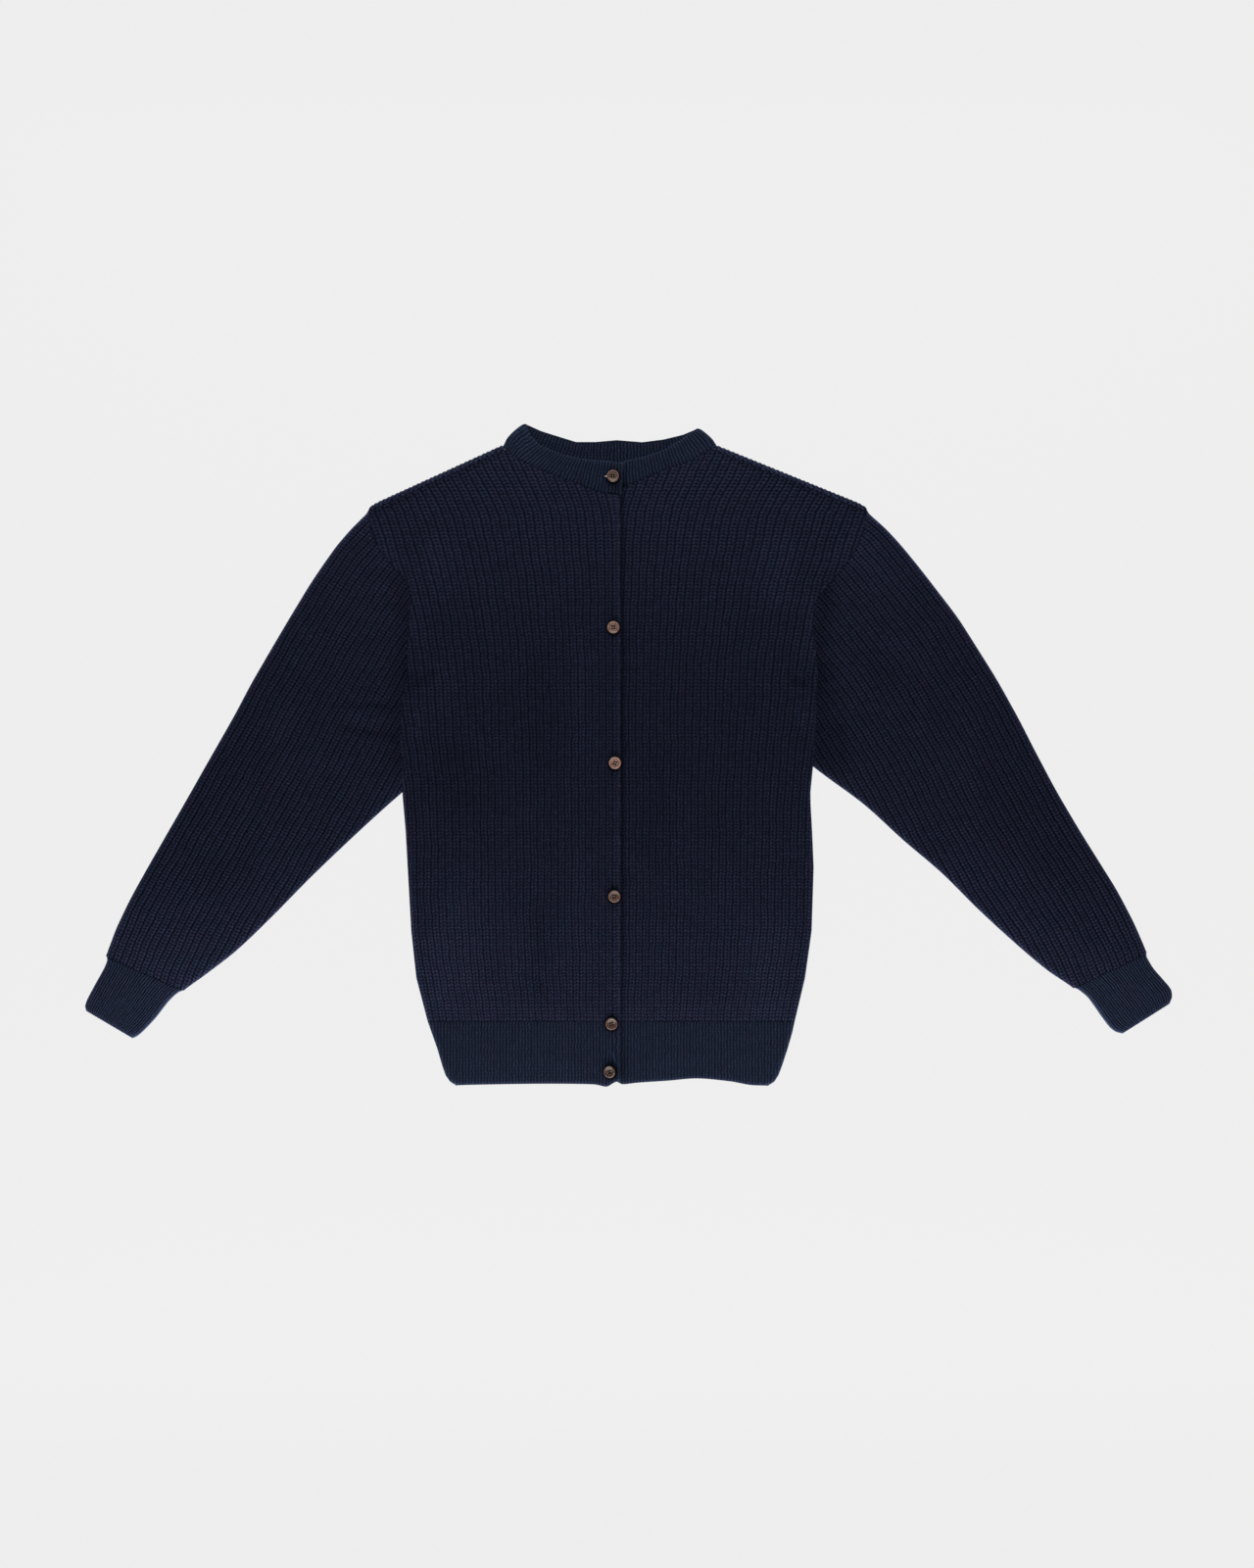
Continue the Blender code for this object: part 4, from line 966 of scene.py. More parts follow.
@dataclass(frozen=True)
class WoolFinish:
    """Knitted merino wool: two yarn tones, how dark its grooves are painted as shade, its sheen, and a
    painted lightness for lit and shaded copies.
    """

    name: str
    first: Colour
    second: Colour
    # The colour painted as shade between the stitches.
    deep: Colour
    gap: float = 0.54
    groove: float = 0.22
    tone: float = 0.32
    stitch_bump: float = 0.9
    fibre_bump: float = 0.35
    sheen: float = 0.1
    painted_lightness: float = 1.0

    def material(self, knit: NodeTree, melange: NodeTree) -> Material:
        """Make the wool's material from the two shared groups.

        Args:
            knit: the group that draws stitches.
            melange: the group of the yarn's colour.

        Returns:
            The material.
        """
        material, nodes, shader = new_surface(self.name)
        place_of = nodes.add("ShaderNodeTexCoord")
        stitch = nodes.add("ShaderNodeUVMap", {"uv_map": STITCH_MAP})
        stitches = nodes.add("ShaderNodeGroup", {"node_tree": knit}, Stitch=stitch.outputs["UV"],
                             Gap=self.gap, Groove=self.groove)
        yarn = nodes.add("ShaderNodeGroup", {"node_tree": melange}, Place=place_of.outputs["Object"],
                         First=self.first, Second=self.second, Patch_Scale=48.0, Fibre_Scale=620.0)
        tone = nodes.math("MULTIPLY_ADD", stitches.outputs["Tone"], self.painted_lightness * self.tone,
                          self.painted_lightness * (1.0 - self.tone / 2.0))
        toned = nodes.vector("SCALE", Vector=yarn.outputs["Color"], Scale=tone)
        knitted = nodes.mix(stitches.outputs["Painted Shade"], toned.outputs["Vector"], self.deep)
        # The colour is scaled by the painted light and shade kept on the points.
        painted_light = nodes.add("ShaderNodeAttribute", {"attribute_name": PAINTED_LIGHT})
        colour = nodes.vector("SCALE", Vector=knitted, Scale=painted_light.outputs["Fac"])
        fuzz = nodes.add("ShaderNodeBump", Height=yarn.outputs["Fibre"], Strength=self.fibre_bump,
                         Distance=0.0006)
        bump = nodes.add("ShaderNodeBump", Height=stitches.outputs["Height"],
                         Strength=self.stitch_bump, Distance=0.0008, Normal=fuzz.outputs["Normal"])
        nodes.fill(shader, Base_Color=colour.outputs["Vector"], Normal=bump.outputs["Normal"],
                   Roughness=0.92, Specular_IOR_Level=0.04, Sheen_Weight=self.sheen,
                   Sheen_Roughness=0.3, Sheen_Tint=(0.55, 0.62, 0.95, 1.0))
        return material


@dataclass(frozen=True)
class HornFinish:
    """Polished brown horn in streaks of two tones, with painted shade inside the four sewing holes.

    The stitch map of a button holds the distances from its middle, in millimetres.
    """

    name: str
    tone: float
    turn: float
    spread: float
    hole: float
    dark: Colour = (0.105, 0.05, 0.034, 1.0)
    pale: Colour = (0.225, 0.15, 0.125, 1.0)
    # The near-black painted into the holes' pits is painted shade.
    inside: Colour = (0.004, 0.004, 0.007, 1.0)

    def material(self) -> Material:
        """Make the horn's material: distorted bands of two browns with fine pores and a dark rim."""
        material, nodes, shader = new_surface(self.name)
        place_of = nodes.add("ShaderNodeTexCoord")
        streak = nodes.add("ShaderNodeTexNoise", Vector=place_of.outputs["Object"], Scale=260.0,
                           Detail=4.0, Distortion=2.2)
        grain = nodes.add("ShaderNodeTexNoise", Vector=place_of.outputs["Object"], Scale=1900.0,
                          Detail=2.0)
        share = nodes.smooth(streak.outputs["Fac"], 0.34, 0.66)
        dark = tuple(self.tone * part for part in self.dark[:3]) + (1.0,)
        pale = tuple(self.tone * part for part in self.pale[:3]) + (1.0,)
        disc = nodes.add("ShaderNodeUVMap", {"uv_map": STITCH_MAP})
        turned = nodes.add("ShaderNodeMapping", Vector=disc.outputs["UV"],
                           Rotation=(0.0, 0.0, -math.radians(self.turn)))
        quarter = nodes.vector("ABSOLUTE", in_0=turned.outputs["Vector"])
        middle = self.spread * math.sqrt(0.5)
        away = nodes.vector("DISTANCE", in_0=quarter.outputs["Vector"], in_1=(middle, middle, 0.0))
        radius = nodes.vector("LENGTH", in_0=disc.outputs["UV"])
        rim = nodes.smooth(radius.outputs["Value"], 5.3, 6.0)
        ring = nodes.math("ABSOLUTE", nodes.math("SUBTRACT", radius.outputs["Value"], 3.7))
        ring = nodes.math("MULTIPLY", nodes.math("SUBTRACT", 1.0, nodes.smooth(ring, 0.2, 1.2)), 0.75)
        solid = nodes.smooth(away.outputs["Value"], 0.85 * self.hole, 1.15 * self.hole)
        horn = nodes.mix(nodes.math("MAXIMUM", rim, ring), nodes.mix(share, dark, pale), dark)
        colour = nodes.mix(solid, self.inside, horn)
        rough = nodes.math("MULTIPLY_ADD", grain.outputs["Fac"], 0.2, 0.22)
        bump = nodes.add("ShaderNodeBump", Height=grain.outputs["Fac"], Strength=0.25,
                         Distance=0.0002)
        nodes.fill(shader, Base_Color=colour, Roughness=rough, Normal=bump.outputs["Normal"],
                   Specular_IOR_Level=0.38)
        return material


@dataclass(frozen=True)
class ThreadFinish:
    """Sewing thread of two twisted plies, with a tone for the light strand and painted shade in the gap
    between them.
    """

    name: str
    light: Colour
    dark: Colour

    def material(self) -> Material:
        """Make the thread's material: slanted bands on its own map, round and along."""
        material, nodes, shader = new_surface(self.name)
        around = nodes.add("ShaderNodeUVMap", {"uv_map": STITCH_MAP})
        parts = nodes.add("ShaderNodeSeparateXYZ", Vector=around.outputs["UV"])
        twist = nodes.math("MULTIPLY_ADD", parts.outputs["Y"], math.tau, parts.outputs["X"])
        strand = nodes.math("ABSOLUTE", nodes.math("SINE", twist))
        share = nodes.smooth(strand, 0.1, 0.7)
        bump = nodes.add("ShaderNodeBump", Height=strand, Strength=0.8, Distance=0.0002)
        nodes.fill(shader, Base_Color=nodes.mix(share, self.dark, self.light),
                   Normal=bump.outputs["Normal"], Roughness=0.7, Specular_IOR_Level=0.1)
        return material


@dataclass(frozen=True)
class Shoulder:
    """A shoulder fold where it leaves the flat back: tip, a place beyond it, neck end, way out."""

    tip: Array
    beyond: Array
    foot: Array
    outward: Array


def way_out(run: Array) -> Array:
    """Return the unit direction square to a run that points away from the hem."""
    out = np.array([-run[1], run[0]]) / np.linalg.norm(run)
    return -out if out[1] < 0.0 else out


def seam_sink(distance: Array) -> Array:
    """Return the share of their height that ribs keep at a distance from a seam."""
    return SEAM_SINK + (1.0 - SEAM_SINK) * ease(distance / SEAM_WIDTH)


def shoulder(side: Side) -> Shoulder:
    """Return the places and the direction that describe one shoulder fold."""
    row = BODY_SIDES[-1]
    tip = np.array([getattr(row, side.word), row.height])
    neck = np.array(side.pick(RIGHT_NECK_POINT, LEFT_NECK_POINT))
    outward = way_out(neck - tip)
    foot = neck - FOLD_RADIUS * outward
    return Shoulder(tip, tip + (tip - foot) * TIP_OVERRUN, foot, outward)


def side_edge(side: Side, height: Array) -> Array:
    """Return x of the body's side edge at the heights asked for."""
    return read_straight(BODY_SIDES, "height", side.word, height)


def front_top(side: Side) -> tuple[EdgePoint, ...]:
    """Return a front's upper edge: its neck seam, and its shoulder seam beside the back's lip."""
    fold = shoulder(side)
    inward = (LIP_REACH + SEAM_GAP) * fold.outward
    neck = side.pick(RIGHT_FRONT_NECK, LEFT_FRONT_NECK)
    return (EdgePoint(*(fold.beyond - inward)), EdgePoint(*(fold.foot - inward)), *neck)


def rib_reach(rib: Array, height: Array) -> Array:
    """Return how far a rib's line is from the first groove: n r + (f - n) r² / 2N."""
    near = read_smooth(RIB_FAN, "height", "near", height)
    far = read_smooth(RIB_FAN, "height", "far", height)
    return near * rib + (far - near) * rib * rib / (2.0 * BODY_RIBS)


def rib_at(reach: Array, height: Array) -> Array:
    """Return the rib count at a distance from the first groove, which undoes rib_reach."""
    near = read_smooth(RIB_FAN, "height", "near", height)
    far = read_smooth(RIB_FAN, "height", "far", height)
    bend = (far - near) / (2.0 * BODY_RIBS)
    return 2.0 * reach / (near + np.sqrt(np.maximum(near * near + 4.0 * bend * reach, 0.01)))


def first_groove(height: Array, side: Side) -> Array:
    """Return x of the first groove of one front at the heights asked for."""
    start = read_smooth(RIB_FAN, "height", "start", height)
    return MIDDLE + side.value * (MIDDLE - start)


def top_crossings(line: Callable[[Array], Array], top: Sequence[EdgePoint]) -> Array:
    """Return the heights at which lines first meet an upper edge.

    Args:
        line: turns a column of heights into x, a column for each line.
        top: the upper edge.

    Returns:
        One height for each line.
    """
    heights = np.arange(TOP_SEARCH_FROM, TOP_SEARCH_TO, SEARCH_STEP)[:, None]
    above = heights - read_straight(top, "x", "y", line(heights))
    row = np.argmax(above > 0.0, axis=0)
    each = np.arange(above.shape[1])
    low, high = above[row - 1, each], above[row, each]
    return heights[row, 0] - SEARCH_STEP * high / (high - low)


def lap_lift(x: Array) -> Array:
    """Return how far the right front is raised where it lies over the left one."""
    return LAP_LIFT * ease((x - LAP_START) / (LAP_END - LAP_START))


def uncovered(x: Array) -> Array:
    """Return 0 where the right front hides the left one and 1 where it shows."""
    return ease((x - COVER_START) / (COVER_END - COVER_START))


def corner_curl(x: Array, y: Array) -> Array:
    """Return how far the lower corner of the right front's hem curls up."""
    across = ease((x - CURL_START_X) / CURL_REACH_X)
    return CURL_HEIGHT * across * ease((CURL_START_Y - y) / CURL_REACH_Y)


def in_fuzz(distance: Array, share: Amount) -> Array:
    """Return the painted sheen near a folded edge, where the fuzz catches the light: a bell on top of 1.
    """
    return 1.0 + share * bell(distance, SHEEN_WIDTH)


def in_ridge(x: Array, y: Array) -> Array:
    """Return the painted highlight on the curled corner's bent ridge, a bell along a slanted line."""
    return crease_height((Crease(-16.6, -289.4, -7.9, -305.8, 1.4, 0.9),), x, y)


def lap_shade(side: Side, x: Array, y: Array) -> Array:
    """Return the share of light along the opening.

    The under layer gets a painted shadow beside the upper one's edge, most of all above the
    waist, and the upper edge itself gets a painted highlight, with the strip inside it a little darker.
    """
    if side is Side.RIGHT:
        return 1.0 + 0.25 * bell(x + 7.4, 0.8) - 0.1 * ease((x + 15.0) / 1.5) * ease((-8.5 - x) / 1.0)
    dark = ease((x + 8.5) / 1.5) * ease((-0.2 - x) / 4.2)
    return 1.0 - (0.1 + 0.24 * ease((y + 250.0) / 90.0)) * dark


def button_shade(x: Array, y: Array) -> Array:
    """Return the share of light round the buttons: a painted shadow, a dark ring round each."""
    light = np.ones(np.broadcast(x, y).shape)
    for row in BUTTONS:
        away = np.hypot(x - row.x - 0.2, y - row.y + 0.5)
        light = light * (1.0 - SHADOW_RING_DARK * bell(away - SHADOW_RING_RADIUS, SHADOW_RING_WIDTH))
    return light


def edge_strip(rib: Array, course: Array) -> Array:
    """Return the relief of the smooth strip along an opening, where the rib count is negative.

    It rises out of the first groove as 1 - exp(-s/0.1), rounds down over the last fifth, and
    carries two faint rows of chain stitches, cos(2 pi v), half a course apart.
    """
    share = np.clip(-rib, 0.0, 1.0)
    rise = 1.0 - np.exp(-share / 0.1)
    fall = rounding(1.0 - share, 0.22)
    wave = np.cos(math.tau * course)
    chain = bell(share - 0.72, 0.14) - bell(share - 0.38, 0.14)
    return (0.8 * rise + 0.07 * chain * wave) * fall


def front_height(side: Side, x: Array, rib: Array, course: Array, sink: Array, edge: Array,
                 bead: Amount = 1.0, rise: Amount = RIB_RISE) -> Array:
    """Return the wall's height on a front or its hem above its own floor.

    The relief of the ribs, sunk beside seams, stands on the groove's wall, and the whole rounds
    down to a thin edge at the side.
    """
    relief = np.where(rib < 0.0, edge_strip(rib, course), knit_relief(rib, course, bead)) * sink
    if side is Side.LEFT:
        relief = relief * uncovered(x)
    full = GROOVE_WALL + rise * relief + (RIB_RISE - rise) * 0.8
    return EDGE_WALL + (full - EDGE_WALL) * rounding(edge)


def half_columns(count: int) -> Array:
    """Return rib counts of a front's columns, the edge strip's first, as negative shares."""
    strip = -np.array([1.0, 0.97, 0.92, 0.85, 0.76, 0.66, 0.56, 0.46, 0.36, 0.25, 0.15, 0.07])
    return np.concatenate((strip, stitch_columns(count)))


def close_wall(shell: Shell, x: Array, y: Array, top: Array, floor: Array,
               rib: Array, course: Array, painted_light: Amount = 1.0) -> None:
    """Close a wall between its fine upper grid and a coarse grid on its floor."""
    fine = shell.lay(stack(x, y, top), rib, course, painted_light)
    rows = every(x.shape[0], COARSE_ROWS)
    columns = every(x.shape[1], STEPS_PER_RIB)
    pick = np.ix_(rows, columns)
    below = shell.lay(stack(x, y, floor)[pick], (rib * np.ones_like(x))[pick],
                      (course * np.ones_like(x))[pick])
    shell.skin(fine)
    shell.skin(below)
    for line in (0, -1):
        shell.rim(fine[line], below[line], columns)
        shell.rim(fine[:, line], below[:, line], rows)


@dataclass
class Front:
    """One front: ribs that fan from the hem seam to the neck and shoulder seams."""

    side: Side
    material: Material
    creases: Sequence[Crease] = ()

    @property
    def opening(self) -> float:
        """Return x of the opening edge."""
        return self.side.pick(RIGHT_OPENING_EDGE, LEFT_OPENING_EDGE)

    def line(self, ribs: Array, height: Array) -> Array:
        """Return x of the lines of ribs, and of shares of the edge strip, at a column of heights."""
        start = first_groove(height, self.side)
        return (start + self.side.value * rib_reach(np.maximum(ribs, 0.0), height)
                - np.minimum(ribs, 0.0) * (self.opening - start))

    def seam_shade(self, x: Array, y: Array, tops: Array) -> Array:
        """Return the share of light near seams: less over the hem and in a line by the shoulder."""
        hem = 0.04 * ease((HEM_SEAM + 53.0 - y) / 15.0) + 0.06 * ease((HEM_SEAM + 19.0 - y) / 10.0)
        line = bell(tops[None, :] - y - 1.8, 1.4) * ease((self.side.value * (x - MIDDLE) - 106.0) / 8.0)
        return 1.0 - hem - 0.32 * line

    def build(self) -> Object:
        """Build the front on level courses, which end at the upper edge and gather at the side."""
        ribs = half_columns(BODY_RIBS + 1)
        top = front_top(self.side)
        tops = top_crossings(lambda height: self.line(ribs, height), top)
        tip = top_crossings(lambda height: side_edge(self.side, height), top)[0]
        tops = np.where(tops < tip, tip, tops)
        level = np.arange(HEM_SEAM + SEAM_GAP, tops.max() + COURSE / 2.0, COURSE / 2.0)[:, None]
        y = np.minimum(level, tops[None, :])
        x = self.line(ribs, y)
        limit = side_edge(self.side, y)
        past = self.side.value * (limit - x) < EDGE_NEAR
        x = np.where(past, limit, x)
        x = np.where(past & (y > tip), side_edge(self.side, tip), x)
        y = np.where(past, np.minimum(y, tip), y)
        edge = np.abs(side_edge(self.side, y) - x)
        rib = np.where(ribs < 0.0, ribs, rib_at(self.side.value * (x - first_groove(y, self.side)), y))
        course = (y - HEM_SEAM) / COURSE
        near_seam = np.minimum(tops[None, :] - y, y - HEM_SEAM)
        sink = seam_sink(near_seam)
        risen = ease((y - HEM_SEAM) / HEM_FADE)
        bead = HEM_BEAD + (1.0 - HEM_BEAD) * risen
        rise = HEM_RISE + (RIB_RISE - HEM_RISE) * risen
        height = front_height(self.side, x, rib, course, sink, edge, bead, rise)
        loose = ease(edge / LOOSE_REACH) * ease(near_seam / LOOSE_REACH)
        crease = crease_height(self.creases, x, y)
        # Painted light and shade on the colour: darker in troughs, lighter on ridges, a painted sheen
        # along the side edge, a painted shadow along the opening and round the buttons, and darker by
        # the seams.
        light = in_hollow(crease) * in_fuzz(edge, 0.15 + 0.95 * ease((UNDERARM - y) / 20.0))
        light = light * lap_shade(self.side, x, y) * button_shade(x, y) * self.seam_shade(x, y, tops)
        height = np.maximum(height + crease * loose, THINNEST_WALL)
        height = height + UNEVEN * (1.0 + sway(x, y)) * loose
        x = x + WANDER * sway(y, x) * loose * ease(self.side.value * (x - self.opening) / 30.0)
        floor = FRONT_FLOOR + (lap_lift(x) if self.side is Side.RIGHT else np.zeros_like(x))
        shell = Shell(f"front_{self.side.word}_knit")
        close_wall(shell, x, y, floor + height, floor, rib, course, light)
        piece = place(shell.name, shell.close(), self.material,
                      [f"front_{self.side.word}"])
        return piece


@dataclass
class Back:
    """The back: a flat panel that turns over each shoulder and ends in a lip on the front."""

    material: Material

    def half(self, side: Side) -> tuple[Array, Array, Array, Array]:
        """Return x, y, the distance to the side edge and the rib counts of one half's columns.

        Rows are level at the hem and bend until the last one runs along the upper edge. Columns
        that reach the side edge gather in one point of it. One more column ends a hair past the
        fold's foot, under the neckband.
        """
        fold = shoulder(side)
        other = shoulder(side.pick(Side.LEFT, Side.RIGHT))
        top = (EdgePoint(*fold.beyond), EdgePoint(*fold.foot), *BACK_NECK, EdgePoint(*other.foot))
        ribs = stitch_columns(BODY_RIBS + 1)[1:]
        end = fold.foot[0] - side.value * SHOULDER_LAP
        end_height = read_straight(top, "x", "y", np.array([end]))
        end_rib = np.interp(side.value * (end - MIDDLE), rib_reach(ribs, end_height), ribs)
        ribs = np.sort(np.append(ribs, end_rib))

        def line(height: Array) -> Array:
            """Return x of the ribs' lines at a column of heights."""
            return MIDDLE + side.value * rib_reach(ribs, height)

        tops = top_crossings(line, top)
        tip = top_crossings(lambda height: side_edge(side, height), top)[0]
        heights = column(BODY_SIDES, "height")
        edge_y = np.concatenate(([HEM_SEAM + SEAM_GAP, HEM_SEAM + SEAM_WIDTH], heights[1:-1],
                                 [tip - SEAM_WIDTH, tip]))[:, None]
        edge_x = side_edge(side, edge_y)
        bend = ease((edge_y - BEND_START) / (tip - BEND_START))
        y = edge_y + bend * (tops - tip)[None, :]
        y[-2] = y[-1] - SEAM_WIDTH
        x = line(y)
        past = side.value * (side_edge(side, y) - x) < EDGE_NEAR
        x = np.where(past, edge_x, x)
        y = np.where(past, edge_y, y)
        return x, y, np.abs(x - edge_x), side.value * ribs

    def build(self) -> Object:
        """Build the back with a fine fold, a half circle of its wall round the level fold line."""
        folds = (shoulder(Side.RIGHT), shoulder(Side.LEFT))
        halves = (self.half(Side.RIGHT), self.half(Side.LEFT))
        x, y, edge, rib = (np.concatenate((right[..., ::-1], left), axis=-1)
                           for right, left in zip(*halves))
        count = len(rib) // 2
        way = np.repeat([fold.outward for fold in folds], count, axis=0)
        base = (y - HEM_SEAM) / COURSE
        outer = [stack(x, y, (BACK_WALL - EDGE_WALL) * (1.0 - rounding(edge)))]
        inner = [stack(x, y, np.full_like(x, BACK_WALL))]
        courses = [base]
        last = base[-1]
        middle = FOLD_RADIUS
        fade = rounding(edge[-1], 6.0)
        taper = 0.2 + 0.8 * rounding(edge[-1], TIP_TAPER)
        crest = 0.85 * np.abs(np.sin(math.tau * rib)) ** 0.8 * fade
        for angle in np.radians(np.linspace(-75.0, 90.0, 12)):
            courses.append((last + (angle + math.pi / 2.0) * middle / COURSE)[None])
            radius = FOLD_WALL_AROUND + FOLD_SCALLOP * crest * ease(math.cos(angle) + 0.25)
            for grid, reach in ((outer, radius), (inner, np.full_like(radius, LAYER_GAP))):
                reach_out = reach * taper * math.cos(angle)
                grid.append(stack(x[-1] + way[:, 0] * reach_out, y[-1] + way[:, 1] * reach_out,
                                  middle + reach * math.sin(angle))[None])
        for share in (0.3, 0.65, 1.0):
            reach = LIP_REACH * share
            course = last + (math.pi * middle + reach) / COURSE
            crest = knit_relief(rib, course) * fade * (1.0 - 0.5 * ease((share - 0.3) / 0.7))
            high = middle + 0.6 + GROOVE_WALL + RIB_RISE * LIP_RISE * crest
            high = high - 0.5 * ease((share - 0.5) / 0.5)
            for grid, level in ((outer, high), (inner, np.full_like(high, middle + LAYER_GAP))):
                grid.append(stack(x[-1] - reach * way[:, 0], y[-1] - reach * way[:, 1], level)[None])
            courses.append(course[None])
        outer_grid, inner_grid, course = (np.concatenate(part) for part in (outer, inner, courses))
        on_right = x[-1] < folds[0].foot[0] + SHOULDER_LAP + EDGE_NEAR / 4.0
        on_left = x[-1] > folds[1].foot[0] - SHOULDER_LAP - EDGE_NEAR / 4.0
        keep = np.ones((len(outer_grid) - 1, 2 * count - 1), dtype=bool)
        keep[len(y) - 1:] = (on_right[:-1] & on_right[1:]) | (on_left[:-1] & on_left[1:])
        shell = Shell("back_knit")
        # Painted light: the rows of the shoulder folds and the lips are painted lighter.
        light = np.where(np.arange(len(outer_grid)) < len(y), 1.0, 1.45)[:, None]
        close_sheet(shell, outer_grid, inner_grid, rib, course, keep, light)
        piece = place(shell.name, shell.close(), self.material, ["back"])
        return piece


def close_sheet(shell: Shell, outer: Array, inner: Array, rib: Array,
                course: Array, keep: Array, painted_light: Amount = 1.0) -> None:
    """Close a wall between two grids of the same columns, open where cells are left out."""
    above = shell.lay(outer, rib, course, painted_light)
    below = shell.lay(inner, rib, course)
    shell.skin(above, keep)
    shell.skin(below, keep)
    held = np.pad(keep, 1)
    rows, columns = np.nonzero(held[1:-1, 1:-1])
    for step_row, step_column, first, second in (
            (-1, 0, (0, 0), (0, 1)), (1, 0, (1, 0), (1, 1)),
            (0, -1, (0, 0), (1, 0)), (0, 1, (0, 1), (1, 1))):
        free = ~held[rows + 1 + step_row, columns + 1 + step_column]
        start = (rows[free] + first[0], columns[free] + first[1])
        end = (rows[free] + second[0], columns[free] + second[1])
        shell.quads.append(np.stack((above[start], above[end], below[end], below[start]), axis=-1))


@dataclass
class Hem:
    """The ribbed hem of one front, whose ribs run straight down and end at its side."""

    side: Side
    material: Material

    def build(self) -> Object:
        """Build the hem: rows spread evenly from the seam to the lower edge."""
        right = self.side is Side.RIGHT
        opening = self.side.pick(RIGHT_OPENING_EDGE, LEFT_OPENING_EDGE)
        start = self.side.pick(RIGHT_HEM_START, LEFT_HEM_START)
        ribs = half_columns(HEM_RIBS)
        heights = column(HEM_SIDES, "height")
        share = np.linspace(0.0, 1.0, 2 * HEM_COURSES + 1)[:, None]
        share = np.concatenate((share[:-1], [[1.0 - 0.15 / (2 * HEM_COURSES)], [1.0]]))
        edge_y = heights[0] - SEAM_GAP + share * (heights[-1] - heights[0] + SEAM_GAP)
        edge_x = read_straight(HEM_SIDES, "height", self.side.word, edge_y)
        lines = np.where(ribs < 0.0, start - ribs * (opening - start),
                         start + self.side.value * ribs * HEM_RIB_WIDTH)
        lean = self.side.value * HEM_RIB_LEAN * np.maximum(ribs, 0.0) / HEM_RIBS
        x = lines[None, :] + lean[None, :] * (edge_y - HEM_SEAM)
        bottom = self.side.pick(RIGHT_HEM_BOTTOM, LEFT_HEM_BOTTOM)
        low = read_smooth(sorted(bottom), "x", "y", x[-1])
        y = edge_y[0] + share * (low - edge_y[0])[None, :]
        limit = read_straight(HEM_SIDES, "height", self.side.word, y)
        past = self.side.value * (limit - x) < EDGE_NEAR
        x = np.where(past, edge_x, x)
        y = np.where(past, edge_y, y)
        edge = np.abs(x - edge_x)
        rib = np.where(ribs < 0.0, ribs, self.side.value * (x - start) / HEM_RIB_WIDTH)
        course = -share * HEM_COURSES * np.ones_like(x)
        down = share * (edge_y[0] - low)[None, :]
        seam = seam_sink(down)
        end = rounding((1.0 - share) * 60.0, 2.0) * np.ones_like(x)
        height = front_height(self.side, x, rib, course, seam, edge, HEM_BEAD, HEM_RISE)
        height = EDGE_WALL + (height - EDGE_WALL) * (0.35 + 0.65 * end)
        floor = FRONT_FLOOR + np.zeros_like(x)
        if right:
            floor = floor + corner_curl(x, y) + lap_lift(x)
        # Painted light and shade on the colour: a painted shadow along the opening and round the
        # buttons, a painted sheen along the edges, a painted light line by the seam and a painted
        # highlight on the curled ridge.
        light = lap_shade(self.side, x, y) * button_shade(x, y)
        light = light * in_fuzz(edge, 1.1) * in_fuzz((1.0 - share) * 62.0, 0.6)
        light = light * (1.0 + 0.03 * ease((30.0 - down) / 10.0) + 0.15 * bell(down, SEAM_LIGHT_LINE))
        if right:
            light = light * (1.0 + in_ridge(x, y))
        shell = Shell(f"hem_{self.side.word}_knit")
        close_wall(shell, x, y, floor + height, floor, rib, course, light)
        piece = place(shell.name, shell.close(), self.material,
                      [f"front_{self.side.word}_hem_rib"])
        return piece


@dataclass
class BackHem:
    """The ribbed hem of the back, which ends a little above the fronts' hems."""

    material: Material

    def build(self) -> Object:
        """Build the hem: one rib after another across, and rounded down at both sides."""
        share = np.linspace(0.0, 1.0, 12)[:, None]
        top = HEM_SEAM - SEAM_GAP
        y = top + share * (BACK_HEM_BOTTOM - top)
        right = read_straight(HEM_SIDES, "height", "right", y) + BACK_HEM_INSET * share
        left = read_straight(HEM_SIDES, "height", "left", y) - BACK_HEM_INSET * share
        count = round(float(left[0, 0] - right[0, 0]) / HEM_RIB_WIDTH)
        rib = stitch_columns(count)[None, :]
        x = right + (left - right) * rib / count
        edge = np.minimum(x - right, left - x)
        relief = knit_relief(rib, share * HEM_COURSES * 0.9)
        low = (BACK_WALL - EDGE_WALL) * (1.0 - rounding(edge)) + BACK_HEM_RISE * (1.0 - relief)
        low = np.clip(low, 0.0, BACK_WALL - BACK_HEM_WALL)
        keep = np.ones((x.shape[0] - 1, x.shape[1] - 1), dtype=bool)
        high = np.full_like(x, BACK_WALL)
        high[-1] -= BACK_HEM_STEP
        shell = Shell("hem_back_knit")
        close_sheet(shell, stack(x, y, low), stack(x, y, high), rib, share * HEM_COURSES, keep)
        piece = place(shell.name, shell.close(), self.material, ["back_hem_rib"])
        return piece


@dataclass(frozen=True)
class Limb:
    """A sleeve's own frame: its shoulder point and its directions along and across."""

    start: Array
    along: Array
    across: Array

    @classmethod
    def of(cls, side: Side) -> "Limb":
        """Return the frame of one sleeve."""
        start = shoulder(side).tip + np.array([side.value * SLEEVE_OUT, SLEEVE_UP])
        angle = math.radians(side.pick(RIGHT_SLEEVE_ANGLE, LEFT_SLEEVE_ANGLE))
        return cls(start, np.array([side.value * math.cos(angle), -math.sin(angle)]),
                   np.array([-side.value * math.sin(angle), -math.cos(angle)]))

    def point(self, along: Array, across: Array, z: Array) -> Array:
        """Turn distances in the sleeve's frame into points at a height."""
        x = self.start[0] + along * self.along[0] + across * self.across[0]
        y = self.start[1] + along * self.along[1] + across * self.across[1]
        return stack(x, y, z)


